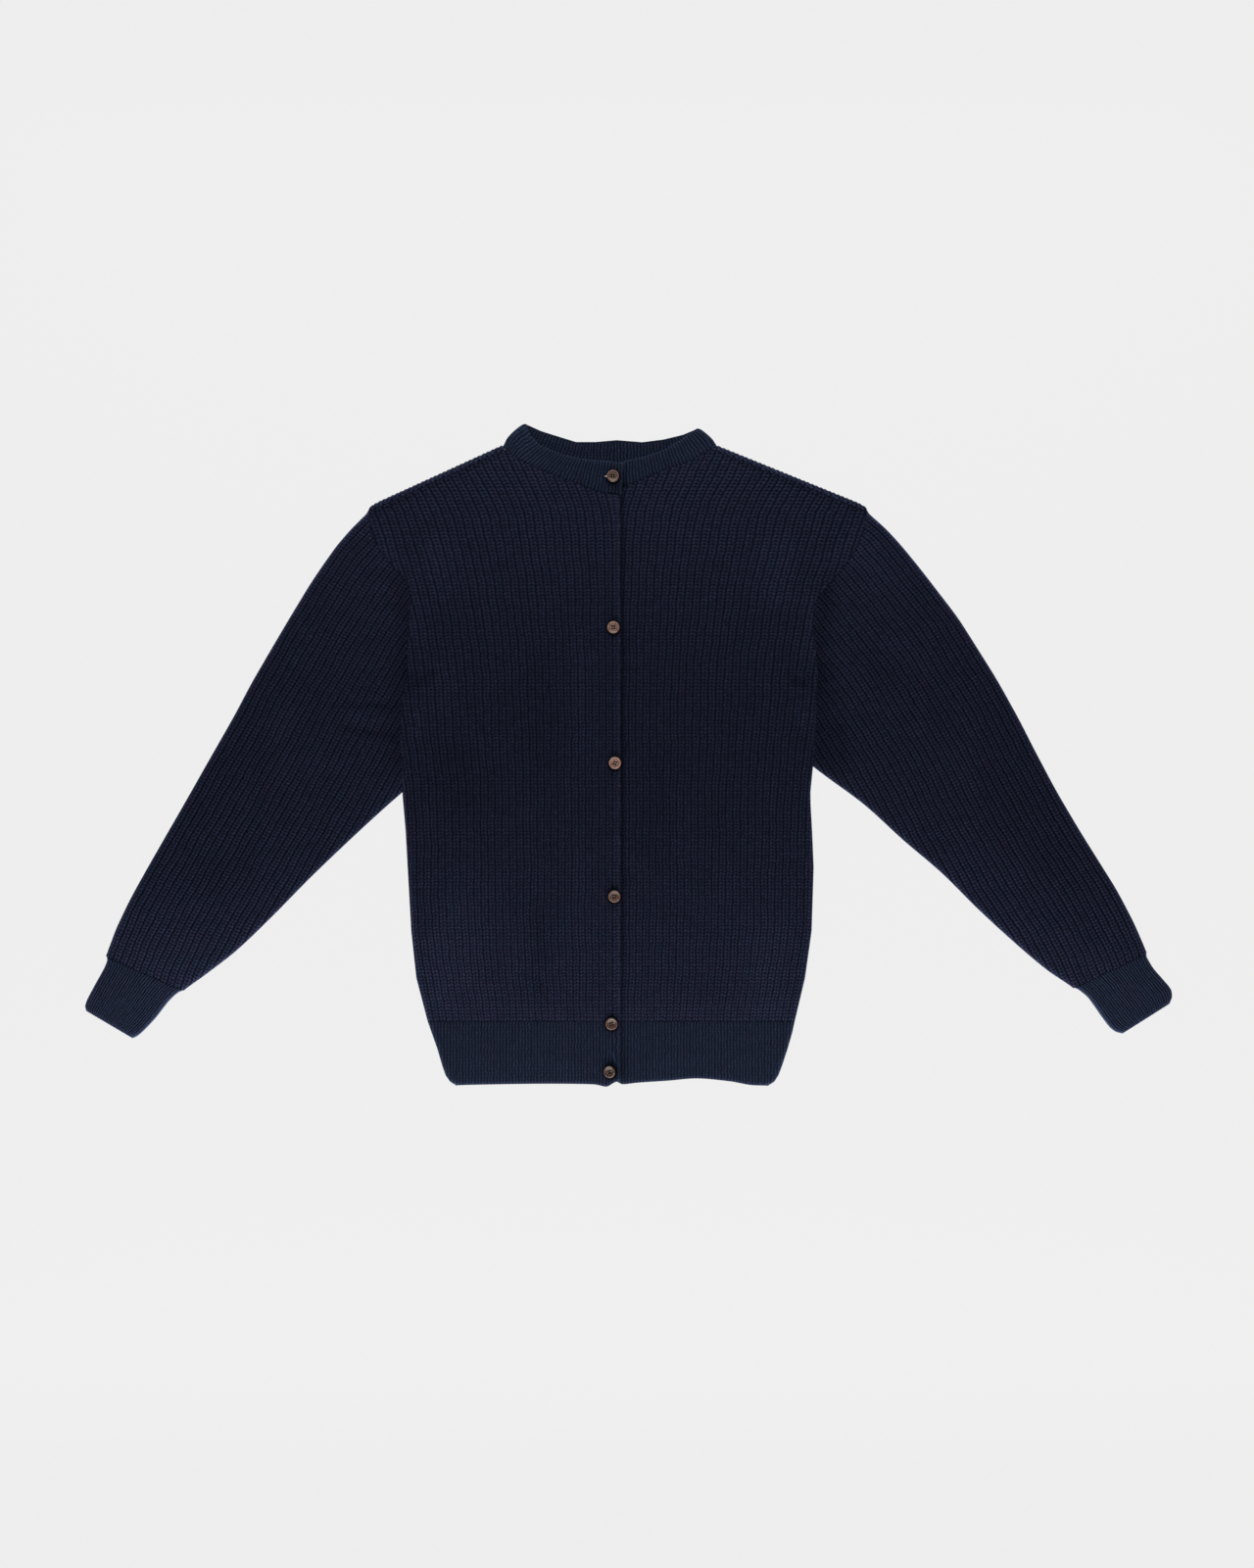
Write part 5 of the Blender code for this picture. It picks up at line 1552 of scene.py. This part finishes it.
def close_tube(shell: Shell, limb: Limb, top: tuple[Array, ...], slit: tuple[Array, ...],
               rows: Array, columns: Array) -> None:
    """Close a tube that is pressed flat, with its slit open inside.

    Args:
        shell: the shell that takes the tube.
        limb: the frame of the distances.
        top: along, across, upper height, lower height, rib, course and painted share of light on
        the fine upper grid, whose first and last columns are the two folds.
        slit: along and across of the slit's points at the coarse rows and columns.
        rows: the coarse rows.
        columns: the coarse columns.
    """
    along, across, high, low, rib, course, painted_light = (np.broadcast_to(part, top[0].shape)
                                                     for part in top)
    pick = np.ix_(rows, columns)
    fine = shell.lay(limb.point(along, across, high), rib, course, painted_light)
    under = shell.lay(limb.point(along[pick], across[pick], low[pick]), rib[pick], course[pick])
    upper_slit = shell.lay(limb.point(*slit, TUBE_FLOOR), rib[pick], course[pick])
    lower_slit = shell.lay(limb.point(*slit, TUBE_WALL), rib[pick], course[pick])
    shell.skin(fine)
    shell.skin(under[:, 1:-1])
    shell.skin(upper_slit)
    shell.skin(lower_slit)
    for fold, beside in ((0, 1), (-1, -2)):
        shell.rim(fine[:, fold], under[:, beside], rows)
        shell.strip(upper_slit[:, fold], lower_slit[:, fold])
    for end in (0, -1):
        shell.rim(fine[end], upper_slit[end], columns)
        rim = np.concatenate((fine[end, :1], under[end, 1:-1], fine[end, -1:]))
        shell.strip(rim, lower_slit[end])


@dataclass
class Sleeve:
    """One sleeve: a tube pressed flat, from the armhole seam to the cuff seam."""

    side: Side
    material: Material
    creases: Sequence[Crease] = ()

    @property
    def table(self) -> Sequence[SleeveRow]:
        """Return the sleeve's folds."""
        return self.side.pick(RIGHT_SLEEVE, LEFT_SLEEVE)

    def fold(self, name: str, along: Array) -> Array:
        """Return across of the upper or the under fold."""
        return read_smooth(self.table, "along", name, along)

    def armhole(self, limb: Limb, line: Callable[[Array], Array]) -> Array:
        """Return how far along the sleeve each line meets the body's side edge.

        Args:
            limb: the sleeve's frame.
            line: turns a column of distances along the sleeve into distances across it.

        Returns:
            One distance for each line.
        """
        fold = shoulder(self.side)
        beyond = fold.tip + 2.0 * FOLD_RADIUS * fold.outward
        edge_x = np.append(column(BODY_SIDES, self.side.word), beyond[0])
        edge_y = np.append(column(BODY_SIDES, "height"), beyond[1])
        along = np.arange(SEARCH_FROM, SEARCH_TO, SEARCH_STEP)[:, None]
        points = limb.point(along, line(along), 0.0)
        limit = np.interp(points[..., 1], edge_y, edge_x)
        inside = self.side.value * (limit - points[..., 0]) > SLEEVE_OVERLAP
        last = len(along) - 1 - np.argmax(inside[::-1], axis=0)
        return along[last, 0]

    def grid(self, limb: Limb, offsets: Array, inset: float, level: Array) -> tuple[Array, Array]:
        """Return along and across of a grid of lines.

        Each line keeps its offset from the upper fold, starts at the armhole and ends at the cuff
        seam. Lines that come within the inset of the underarm fold gather there.
        """
        def line(along: Array) -> Array:
            """Return across for each of the lines."""
            return offsets + self.fold("upper", along)

        def under_line(along: Array) -> Array:
            """Return across for the line an inset away from the underarm fold."""
            return self.fold("under", along) - inset + np.zeros(1)

        length = self.table[-1].along
        start = self.armhole(limb, line)
        end = length - CUFF_SLANT * offsets + SEAM_GAP
        first = self.armhole(limb, under_line)[0]
        last = length - CUFF_SLANT * (self.table[-1].under - inset) + SEAM_GAP
        along = np.clip(level, start[None, :], end[None, :])
        across = line(along)
        gathered = np.clip(level, first, last)
        past = (self.fold("under", along) - inset - across) < EDGE_NEAR / 2.0
        past = np.maximum.accumulate(past, axis=1)
        along = np.where(past, gathered, along)
        across = np.where(past, self.fold("under", gathered) - inset, across)
        return along, across

    def build(self) -> Object:
        """Build the sleeve on courses square to its ribs."""
        limb = Limb.of(self.side)
        ribs = np.unique(np.concatenate(([0.04], stitch_columns(SLEEVE_RIBS))))
        length = self.table[-1].along
        level = np.arange(SEARCH_FROM, length + COURSE / 2.0, COURSE / 2.0)[:, None]
        along, across = self.grid(limb, ribs * SLEEVE_RIB, FOLD_CORNER, level)
        first = self.armhole(limb, lambda at: self.fold("under", at) + np.zeros(1))[0]
        last = length - CUFF_SLANT * self.table[-1].under + SEAM_GAP
        fold_along = np.clip(level, first, last)
        along = np.concatenate((along, fold_along), axis=1)
        across = np.concatenate((across, self.fold("under", fold_along)), axis=1)
        upper = across - self.fold("upper", along)
        under = self.fold("under", along) - across
        rib = upper / SLEEVE_RIB
        course = along / COURSE
        fold_distance = np.minimum(upper, under)
        relief = knit_relief(rib, level / COURSE)
        start = along[0][None, :]
        from_body = along - start
        tuck = 0.55 + 0.45 * ease(from_body / 5.0)
        full = (GROOVE_WALL + RIB_RISE * relief) * tuck
        points = limb.point(along, across, 0.0)
        crease = crease_height(self.creases, points[..., 0], points[..., 1])
        # Painted light and shade on the colour: darker in troughs, lighter on ridges, and a painted
        # sheen along both folds.
        painted_light = in_hollow(crease) * in_fuzz(upper, 1.3) * in_fuzz(under, 1.0)
        # Painted light: the sleeve is painted lighter towards its cuff.
        painted_cuff_light = CUFFWARD_LIGHT * self.side.pick(1.0, LEFT_CUFFWARD_SHARE)
        painted_light = painted_light * (1.0 + painted_cuff_light * ease(1.0 - (length - along) / CUFFWARD_REACH))
        crease = crease + UNEVEN * (1.0 + sway(points[..., 0], points[..., 1]))
        loose = ease(fold_distance / LOOSE_REACH) * ease(from_body / 6.0)
        loose = loose * ease((length - along) / LOOSE_REACH)
        crease = crease * loose
        across = across + WANDER * sway(points[..., 1], points[..., 0]) * loose
        full = np.maximum(full + crease, THINNEST_WALL)
        high = TUBE_FLOOR + full * rounding(fold_distance)
        low = TUBE_FLOOR * (1.0 - rounding(fold_distance))
        rows = every(len(level), COARSE_ROWS)
        columns = np.append(every(len(ribs), STEPS_PER_RIB), len(ribs))
        inner_offsets = np.append(np.maximum(ribs[columns[:-1]] * SLEEVE_RIB, FOLD_WALL), 400.0)
        shell = Shell(f"sleeve_{self.side.word}_knit")
        close_tube(shell, limb, (along, across, high, low, rib, course, painted_light),
                   self.grid(limb, inner_offsets, FOLD_WALL, level[rows]), rows, columns)
        piece = place(shell.name, shell.close(), self.material,
                      [f"sleeve_{self.side.word}"])
        return piece


@dataclass
class Cuff:
    """One ribbed cuff: a tube pressed flat whose ribs close in from the seam to the end."""

    side: Side
    material: Material

    def build(self) -> Object:
        """Build the cuff: its seam is slanted and its end is square."""
        limb = Limb.of(self.side)
        table = self.side.pick(RIGHT_CUFF, LEFT_CUFF)
        length = self.side.pick(RIGHT_SLEEVE, LEFT_SLEEVE)[-1].along
        share = np.linspace(0.0, 1.0, 2 * CUFF_COURSES + 1)[:, None]
        share = np.concatenate((share[:-1], [[0.992], [1.0]]))
        past = share * table[-1].past
        upper = read_smooth(table, "past", "upper", past)
        under = read_smooth(table, "past", "under", past)
        ribs = stitch_columns(CUFF_RIBS)

        def grid(inset: float, rib: Array, row: Array) -> tuple[Array, Array]:
            """Return along and across of columns that stay an inset away from both folds."""
            across = upper[row] + inset + (under[row] - upper[row] - 2.0 * inset) * rib / CUFF_RIBS
            seam = (1.0 - share[row]) * (CUFF_SLANT * across - SEAM_GAP)
            return length + past[row] - seam, across

        rows = every(len(share), COARSE_ROWS)
        along, across = grid(0.0, ribs, np.arange(len(share)))
        columns = every(len(ribs), STEPS_PER_RIB)
        distance = np.minimum(across - upper, under - across)
        course = share * CUFF_COURSES
        sink = seam_sink(past)
        end = 0.45 + 0.55 * rounding((1.0 - share) * table[-1].past, 2.0)
        relief = knit_relief(ribs[None, :], course, HEM_BEAD) * sink
        full = (GROOVE_WALL + 0.6 + CUFF_RISE * relief) * end
        high = TUBE_FLOOR + full * rounding(distance)
        low = TUBE_FLOOR * (1.0 - rounding(distance) * (0.75 + 0.25 * end))
        shell = Shell(f"cuff_{self.side.word}_knit")
        # Painted light on the colour: a painted sheen along the folds and the end, and a painted light
        # line by the seam.
        painted_light = in_fuzz(distance, 1.5) * in_fuzz((1.0 - share) * 55.0, 0.7)
        painted_light = painted_light * (1.0 + 0.12 * bell(past, SEAM_LIGHT_LINE))
        close_tube(shell, limb, (along, across, high, low, ribs[None, :], course, painted_light),
                   grid(FOLD_WALL, ribs[columns], rows), rows, columns)
        piece = place(shell.name, shell.close(), self.material,
                      [f"cuff_{self.side.word}"])
        return piece


@dataclass
class Neckband:
    """The neckband: one strip round the neck that folds at each side and laps in front."""

    material: Material

    def __post_init__(self) -> None:
        """Set the rows across the band: its seam, its courses and its rolled upper edge."""
        share = np.linspace(0.0, 1.0, 2 * BAND_COURSES + 1)
        self.share = np.concatenate(([0.0], [0.02], share[1:-1], [0.975], [1.0]))[:, None]
        seam = 0.85 + 0.15 * ease(self.share / 0.08)
        self.keep = seam * (0.5 + 0.5 * rounding(1.0 - self.share, 0.09))

    def span(self, table: Sequence[BandRow]) -> tuple[Array, Array, Array]:
        """Return seam points, edge points and rib counts of one stretch."""
        seam = np.stack((column(table, "seam_x"), column(table, "seam_y")), axis=1)
        edge = np.stack((column(table, "edge_x"), column(table, "edge_y")), axis=1)
        steps = np.linalg.norm(np.diff((seam + edge) / 2.0, axis=0), axis=1)
        travelled = np.concatenate(([0.0], np.cumsum(steps)))
        count = round(travelled[-1] / BAND_RIB)
        ribs = stitch_columns(count)
        at = ribs / count * travelled[-1]
        seam, edge = (np.stack([np.interp(at, travelled, line[:, axis]) for axis in (0, 1)], axis=1)
                      for line in (seam, edge))
        return seam, edge, ribs

    def points(self, seam: Array, edge: Array) -> Array:
        """Return points at each row from just off the seam to the upper edge."""
        rise = edge - seam
        start = seam + rise * BAND_SEAM_GAP / np.linalg.norm(rise, axis=1, keepdims=True)
        return start[None] + self.share[..., None] * (edge - start)[None]

    def front(self, table: Sequence[BandRow], lapped: bool) -> tuple[Array, ...]:
        """Return outer and inner points, ribs and courses of a stretch on the upper layer."""
        seam, edge, ribs = self.span(table)
        points = self.points(seam, edge)
        course = self.share * BAND_COURSES
        relief = knit_relief(ribs[None, :], course, HEM_BEAD)
        floor = FRONT_FLOOR + (lap_lift(points[..., 0]) if lapped else 0.0)
        if lapped:
            relief = np.where(ribs[None, :] < 1.0, 0.75 * rounding(ribs[None, :], 0.3), relief)
        else:
            relief = relief * uncovered(points[..., 0])
        height = (FRONT_WALL - 0.2 + BAND_RISE * relief) * self.keep
        return (stack(points[..., 0], points[..., 1], floor + height),
                stack(points[..., 0], points[..., 1], floor), ribs[None, :], course)

    def light(self, points: Array, lapped: Optional[bool]) -> Array:
        """Return the share of light on a stretch: a painted shadow beside and below the first button,
        and painted light at the back of the neck and towards the ends.

        It goes on the outer points. At the back of the neck those are the underside.

        Args:
            points: the stretch's points.
            lapped: whether it is the upper end in front, the under end, or neither.

        Returns:
            The share at each point.
        """
        x, y = points[..., 0], points[..., 1]
        if lapped is None:
            return 1.38 + 0.18 * (bell(x + 88.0, 14.0) + bell(x - 60.0, 12.0))
        if lapped:
            below = bell(np.hypot((x + 10.0) / 1.3, y - 260.5), 4.0)
            return button_shade(x, y) * (1.0 - 0.42 * below) * (1.0 + 0.16 * ease((-70.0 - x) / 30.0))
        beside = bell(np.hypot((x + 3.2) / 0.8, (y - 262.0) / 2.0), 4.0)
        return button_shade(x, y) * (1.0 - 0.7 * beside) * (1.0 + 0.08 * ease((x - 40.0) / 20.0))

    def back(self, table: Sequence[BandRow]) -> tuple[Array, ...]:
        """Return the points of the back stretch, whose inner side looks up."""
        seam, edge, ribs = self.span(table)
        points = self.points(seam, edge)
        course = self.share * BAND_COURSES
        near_end = np.clip(1.0 - np.minimum(ribs, ribs[-1] - ribs), 0.0, 1.0)
        relief = np.maximum(knit_relief(ribs[None, :], course, HEM_BEAD), near_end[None, :])
        low = (1.0 - self.keep) * np.ones_like(relief)
        high = BACK_WALL - BAND_RISE * (1.0 - relief) - 0.5 * (1.0 - self.keep)
        return (stack(points[..., 0], points[..., 1], low),
                stack(points[..., 0], points[..., 1], high), ribs[None, :], course)

    def fold(self, row: BandRow, angles: Array) -> tuple[Array, ...]:
        """Return the points of a fold at the side of the neck, a half circle of the wall."""
        seam = np.array([[row.seam_x, row.seam_y]])
        edge = np.array([[row.edge_x, row.edge_y]])
        points = self.points(seam, edge)
        rise = (edge - seam)[0]
        outward = way_out(rise)
        turn = np.radians(angles)[None, :]
        middle = (FRONT_FLOOR + BACK_WALL) / 2.0
        inner = LAYER_GAP / 2.0 * np.ones_like(self.keep * turn)
        full = middle - inner - (BACK_WALL - FRONT_WALL) * (1.0 + np.sin(turn)) / 2.0
        grids = []
        for radius in (inner + full * (1.0 + self.keep) / 2.0, inner):
            reach = radius * np.cos(turn) * (0.25 + 0.75 * rounding(1.0 - self.share, 0.2))
            flare = BAND_FLARE * (1.0 - self.share) * np.cos(turn) / np.linalg.norm(rise)
            grids.append(stack(points[..., 0] + outward[0] * reach - flare * rise[0],
                               points[..., 1] + outward[1] * reach - flare * rise[1],
                               middle + radius * np.sin(turn)))
        course = self.share * BAND_COURSES
        return (*grids, 0.3 + 0.4 * (turn / math.pi + 0.5), course)

    def build(self) -> Object:
        """Build the five stretches of the band as one strip."""
        angles = np.linspace(75.0, -75.0, 11)
        stretches = (self.front(BAND_RIGHT, True), self.fold(BAND_BACK[0], angles),
                     self.back(BAND_BACK), self.fold(BAND_BACK[-1], angles[::-1]),
                     self.front(BAND_LEFT, False))
        outer = np.concatenate([part[0] for part in stretches], axis=1)
        inner = np.concatenate([part[1] for part in stretches], axis=1)
        for grid in (outer, inner):
            for swell in BAND_SWELLS:
                away = np.hypot(grid[..., 0] - swell.x, grid[..., 1] - swell.y)
                way = np.array([swell.way_x, swell.way_y, 0.0])
                push = swell.height * bell(away, swell.width) * ease(self.share / 0.35)
                grid += push[..., None] * way
        rib = np.concatenate([np.broadcast_to(part[2], part[0].shape[:2]) for part in stretches], axis=1)
        course = self.share * BAND_COURSES * np.ones_like(rib)
        keep = np.ones((outer.shape[0] - 1, outer.shape[1] - 1), dtype=bool)
        # Painted light and shade on the colour: each stretch's own, the painted light on the rims, and a
        # painted sheen along the upper edge.
        light = np.concatenate([self.light(part[0], lapped) for part, lapped in
                                zip(stretches, (True, None, None, None, False))], axis=1)
        light = light + crease_height(BAND_RIM_LIGHTS, outer[..., 0], outer[..., 1])
        light = light * in_fuzz((1.0 - self.share) * 28.0 - 0.6, 0.25)
        shell = Shell("neckband_knit")
        close_sheet(shell, outer, inner, rib, course, keep, light)
        piece = place(shell.name, shell.close(), self.material, ["neckband"])
        return piece


@dataclass
class Button:
    """A horn button: a turned disc with a rim, a dished middle and four sewing holes."""

    number: int
    row: ButtonRow
    thread: Material
    profile: Sequence[ProfileRow] = (
        ProfileRow(0.0, 1.55),
        ProfileRow(1.6, 1.6),
        ProfileRow(3.0, 1.75),
        ProfileRow(3.9, 1.95),
        ProfileRow(4.4, 2.3),
        ProfileRow(4.9, 2.52),
        ProfileRow(5.4, 2.45),
        ProfileRow(5.8, 2.1),
        ProfileRow(6.0, 1.6),
        ProfileRow(6.0, 1.1),
        ProfileRow(5.8, 0.5),
        ProfileRow(5.3, 0.08),
        ProfileRow(4.8, 0.0),
        ProfileRow(2.4, 0.0),
        ProfileRow(0.0, 0.0),
    )
    sides: int = 56
    rings: int = 64
    hole: float = 0.92
    spread: float = 1.6
    hole_depth: float = 1.3
    bar_inset: float = 0.6

    def hole_places(self) -> Array:
        """Return the middles of the four holes."""
        angles = np.radians(45.0 + 90.0 * np.arange(4) + self.row.turn)
        return self.spread * np.stack((np.cos(angles), np.sin(angles)), axis=1)

    def seat(self, points: Array) -> Array:
        """Tip points about the y axis and move them to the button's seat."""
        tilt = math.radians(self.row.tilt)
        x = points[..., 0] * math.cos(tilt) + points[..., 2] * math.sin(tilt)
        z = points[..., 2] * math.cos(tilt) - points[..., 0] * math.sin(tilt)
        return stack(x + self.row.x, points[..., 1] + self.row.y, z + BUTTON_SEAT + self.row.lift)

    def disc(self) -> Mesh:
        """Turn the profile, read between its rows and smoothed, and press the holes in."""
        at = np.linspace(0.0, len(self.profile) - 1.0, self.rings)
        keys = np.arange(len(self.profile))
        radius = np.interp(at, keys, column(self.profile, "radius"))
        height = np.interp(at, keys, column(self.profile, "height"))
        kernel = np.array([0.25, 0.5, 0.25])
        for _ in range(3):
            radius[1:-1] = np.convolve(radius, kernel, mode="valid")
            height[1:-1] = np.convolve(height, kernel, mode="valid")
        angle = np.linspace(0.0, math.tau, self.sides + 1)[None, :]
        x = radius[:, None] * np.cos(angle)
        y = radius[:, None] * np.sin(angle)
        z = height[:, None] * np.ones_like(x)
        away = np.linalg.norm(np.stack((x, y), axis=-1)[..., None, :] - self.hole_places(), axis=-1)
        pit = 1.0 - ease((away.min(axis=-1) - self.hole * 0.75) / (self.hole * 0.5))
        shown = (np.arange(self.rings) < 0.45 * self.rings)[:, None]
        z = z - self.hole_depth * pit * shown
        shell = Shell(f"button_{self.number}_horn")
        shell.skin(shell.lay(self.seat(stack(x, y, z)), x, y))
        return shell.close()

    def stitches(self) -> Mesh:
        """Make the sewing thread: two bars, each an arched tube from one hole to the next."""
        holes = self.hole_places()
        shell = Shell(f"button_{self.number}_thread")
        share = np.linspace(0.0, 1.0, 13)[:, None]
        around = np.linspace(0.0, math.tau, 9)[None, :]
        for start, end in ((holes[0], holes[1]), (holes[2], holes[3])):
            run = (end - start) / np.linalg.norm(end - start)
            side_way = np.array([-run[1], run[0]])
            start, end = start + self.bar_inset * run, end - self.bar_inset * run
            middle = start + share * (end - start)
            high = 0.5 + 1.2 * np.sin(math.pi * share) ** 0.5
            thick = 0.2 * np.sin(math.pi * np.clip(share, 0.03, 0.97)) ** 0.2
            thick = thick * (share > 0.0) * (share < 1.0)
            x = middle[:, :1] + side_way[0] * thick * np.cos(around)
            y = middle[:, 1:] + side_way[1] * thick * np.cos(around)
            z = high + thick * np.sin(around)
            shell.skin(shell.lay(self.seat(stack(x, y, z)), around, share * 6.0))
        return shell.close()

    def build(self) -> Object:
        """Build the disc and its thread."""
        horn = HornFinish(f"horn_{self.number}", self.row.tone, self.row.turn, self.spread,
                          self.hole).material()
        disc = place(f"button_{self.number}_horn", self.disc(), horn,
                     [f"button_{self.number}"])
        place(f"button_{self.number}_thread", self.stitches(), self.thread)
        return disc


@dataclass
class EndStitch:
    """The pale end of the top buttonhole's stitching, which peeps out beside the first button."""

    thread: Material
    x: float = -20.0
    y: float = 272.4
    half_length: float = 1.5
    half_width: float = 0.75
    half_height: float = 0.7

    def build(self) -> Object:
        """Build the knot: a long egg whose radius ripples with its two plies."""
        around = np.linspace(0.0, math.tau, 17)[None, :]
        along = np.linspace(-math.pi / 2.0, math.pi / 2.0, 17)[:, None]
        swell = np.cos(along) * (1.0 + 0.14 * np.cos(2.0 * around + 5.0 * along))
        x = self.x + self.half_length * np.sin(along) * np.ones_like(around)
        y = self.y + self.half_width * swell * np.cos(around) + 0.25 * np.sin(2.0 * along)
        z = BUTTON_SEAT - 0.2 + self.half_height * swell * np.sin(around)
        shell = Shell("end_stitch")
        shell.skin(shell.lay(stack(x, y, z), around, along))
        return place(shell.name, shell.close(), self.thread)


@dataclass
class Studio:
    """A pale floor, soft light from all round and above, and the camera straight overhead."""

    image_height: float = 1.536
    look_x: float = -0.001638
    look_y: float = -0.0284565
    cloth_level: float = 0.005
    lens: float = 85.0
    sensor: float = 36.0
    floor_half: float = 4.0
    floor_tone: float = 0.006
    floor_glow: float = 0.85
    sky: float = 0.15
    lamps: Sequence[Lamp] = (
        Lamp("foot", -0.62, 0.22, 1.5, 0.3, 10.0),
        Lamp("head", 0.6, 0.22, 1.2, 0.3, 5.0),
    )

    def build_floor(self) -> None:
        """Lay the floor a hair below the cloth, with a faint paper grain."""
        half = self.floor_half
        mesh = bpy.data.meshes.new("ground")
        level = -0.0002
        mesh.from_pydata([(-half, -half, level), (half, -half, level), (half, half, level),
                          (-half, half, level)], [], [(0, 1, 2, 3)])
        floor = bpy.data.objects.new("ground", mesh)
        bpy.context.scene.collection.objects.link(floor)
        material, nodes, shader = new_surface("paper")
        place_of = nodes.add("ShaderNodeTexCoord")
        grain = nodes.add("ShaderNodeTexNoise", Vector=place_of.outputs["Object"], Scale=40.0)
        tone = self.floor_tone
        colour = nodes.mix(grain.outputs["Fac"], (tone, tone, tone, 1.0),
                           (tone * 0.99, tone * 0.99, tone * 0.99, 1.0))
        nodes.fill(shader, Base_Color=colour, Roughness=1.0, Specular_IOR_Level=0.0,
                   Emission_Color=WHITE, Emission_Strength=self.floor_glow)
        mesh.materials.append(material)

    def build_lights(self) -> None:
        """Light the scene with an even sky and a broad lamp beyond the hem and beyond the neck."""
        scene = bpy.context.scene
        world = bpy.data.worlds.new("studio")
        world.use_nodes = True
        background = world.node_tree.nodes["Background"]
        background.inputs["Color"].default_value = WHITE
        background.inputs["Strength"].default_value = self.sky
        scene.world = world
        for row in self.lamps:
            light = bpy.data.lights.new(row.name, "AREA")
            light.shape = "RECTANGLE"
            light.size = row.width
            light.size_y = row.depth
            light.energy = row.power
            lamp = bpy.data.objects.new(row.name, light)
            lamp.location = (0.0, row.y, row.z)
            lamp.rotation_euler = (math.atan2(-row.y, row.z), 0.0, 0.0)
            lamp.visible_camera = False
            scene.collection.objects.link(lamp)

    def build_camera(self) -> None:
        """Hang the camera so that the frame's height covers the photo's at the cloth's level."""
        camera = bpy.data.cameras.new("camera")
        camera.lens = self.lens
        camera.sensor_fit = "VERTICAL"
        camera.sensor_height = self.sensor
        camera.clip_end = 100.0
        holder = bpy.data.objects.new("camera", camera)
        height = self.image_height * self.lens / self.sensor + self.cloth_level
        holder.location = (self.look_x, self.look_y, height)
        bpy.context.scene.collection.objects.link(holder)
        bpy.context.scene.camera = holder

    def build(self) -> None:
        """Set up the whole studio."""
        self.build_floor()
        self.build_lights()
        self.build_camera()
        bpy.context.scene.view_settings.view_transform = "Standard"


def main() -> None:
    """Build the cardigan piece by piece, then the studio."""
    logging.basicConfig(level=logging.INFO, format="%(name)s %(message)s")
    knit = knit_group()
    melange = mottle_group()
    wool = WoolFinish("body_wool", (0.0178, 0.0190, 0.0402, 1.0), (0.0148, 0.0202, 0.0393, 1.0),
                      (0.0040, 0.0051, 0.0132, 1.0))
    ribbing = WoolFinish("rib_wool", (0.0132, 0.0166, 0.0337, 1.0), (0.0114, 0.0177, 0.0345, 1.0),
                         (0.0034, 0.0050, 0.0115, 1.0), gap=0.16, groove=0.06, tone=0.28)
    body_wool = wool.material(knit, melange)
    # The hem, cuff and band copies are painted lighter or darker, as painted light and shade.
    hem_wool = replace(ribbing, name="hem_wool", painted_lightness=0.91).material(knit, melange)
    cuff_wool = replace(ribbing, name="cuff_wool", painted_lightness=1.36, gap=0.1,
                        first=(0.0142, 0.0166, 0.0335, 1.0),
                        deep=(0.0052, 0.0076, 0.0165, 1.0)).material(knit, melange)
    band_wool = replace(ribbing, name="band_wool", painted_lightness=1.06).material(knit, melange)
    pieces: list = [Back(body_wool), BackHem(hem_wool)]
    creases = {Side.RIGHT: (RIGHT_FRONT_CREASES, RIGHT_SLEEVE_CREASES),
               Side.LEFT: (LEFT_FRONT_CREASES, LEFT_SLEEVE_CREASES)}
    for side in Side:
        on_front, on_sleeve = creases[side]
        pieces += [Front(side, body_wool, on_front), Hem(side, hem_wool),
                   Sleeve(side, body_wool, on_sleeve), Cuff(side, cuff_wool)]
    pieces.append(Neckband(band_wool))
    brown = ThreadFinish("button_thread", (0.085, 0.06, 0.052, 1.0), (0.03, 0.02, 0.018, 1.0))
    pale = ThreadFinish("end_thread", (0.72, 0.7, 0.7, 1.0), (0.35, 0.33, 0.33, 1.0))
    sewing = brown.material()
    pieces += [Button(number, row, sewing) for number, row in enumerate(BUTTONS, start=1)]
    pieces.append(EndStitch(pale.material()))
    for piece in pieces:
        piece.build()
    Studio().build()


if __name__ == "__main__":
    main()
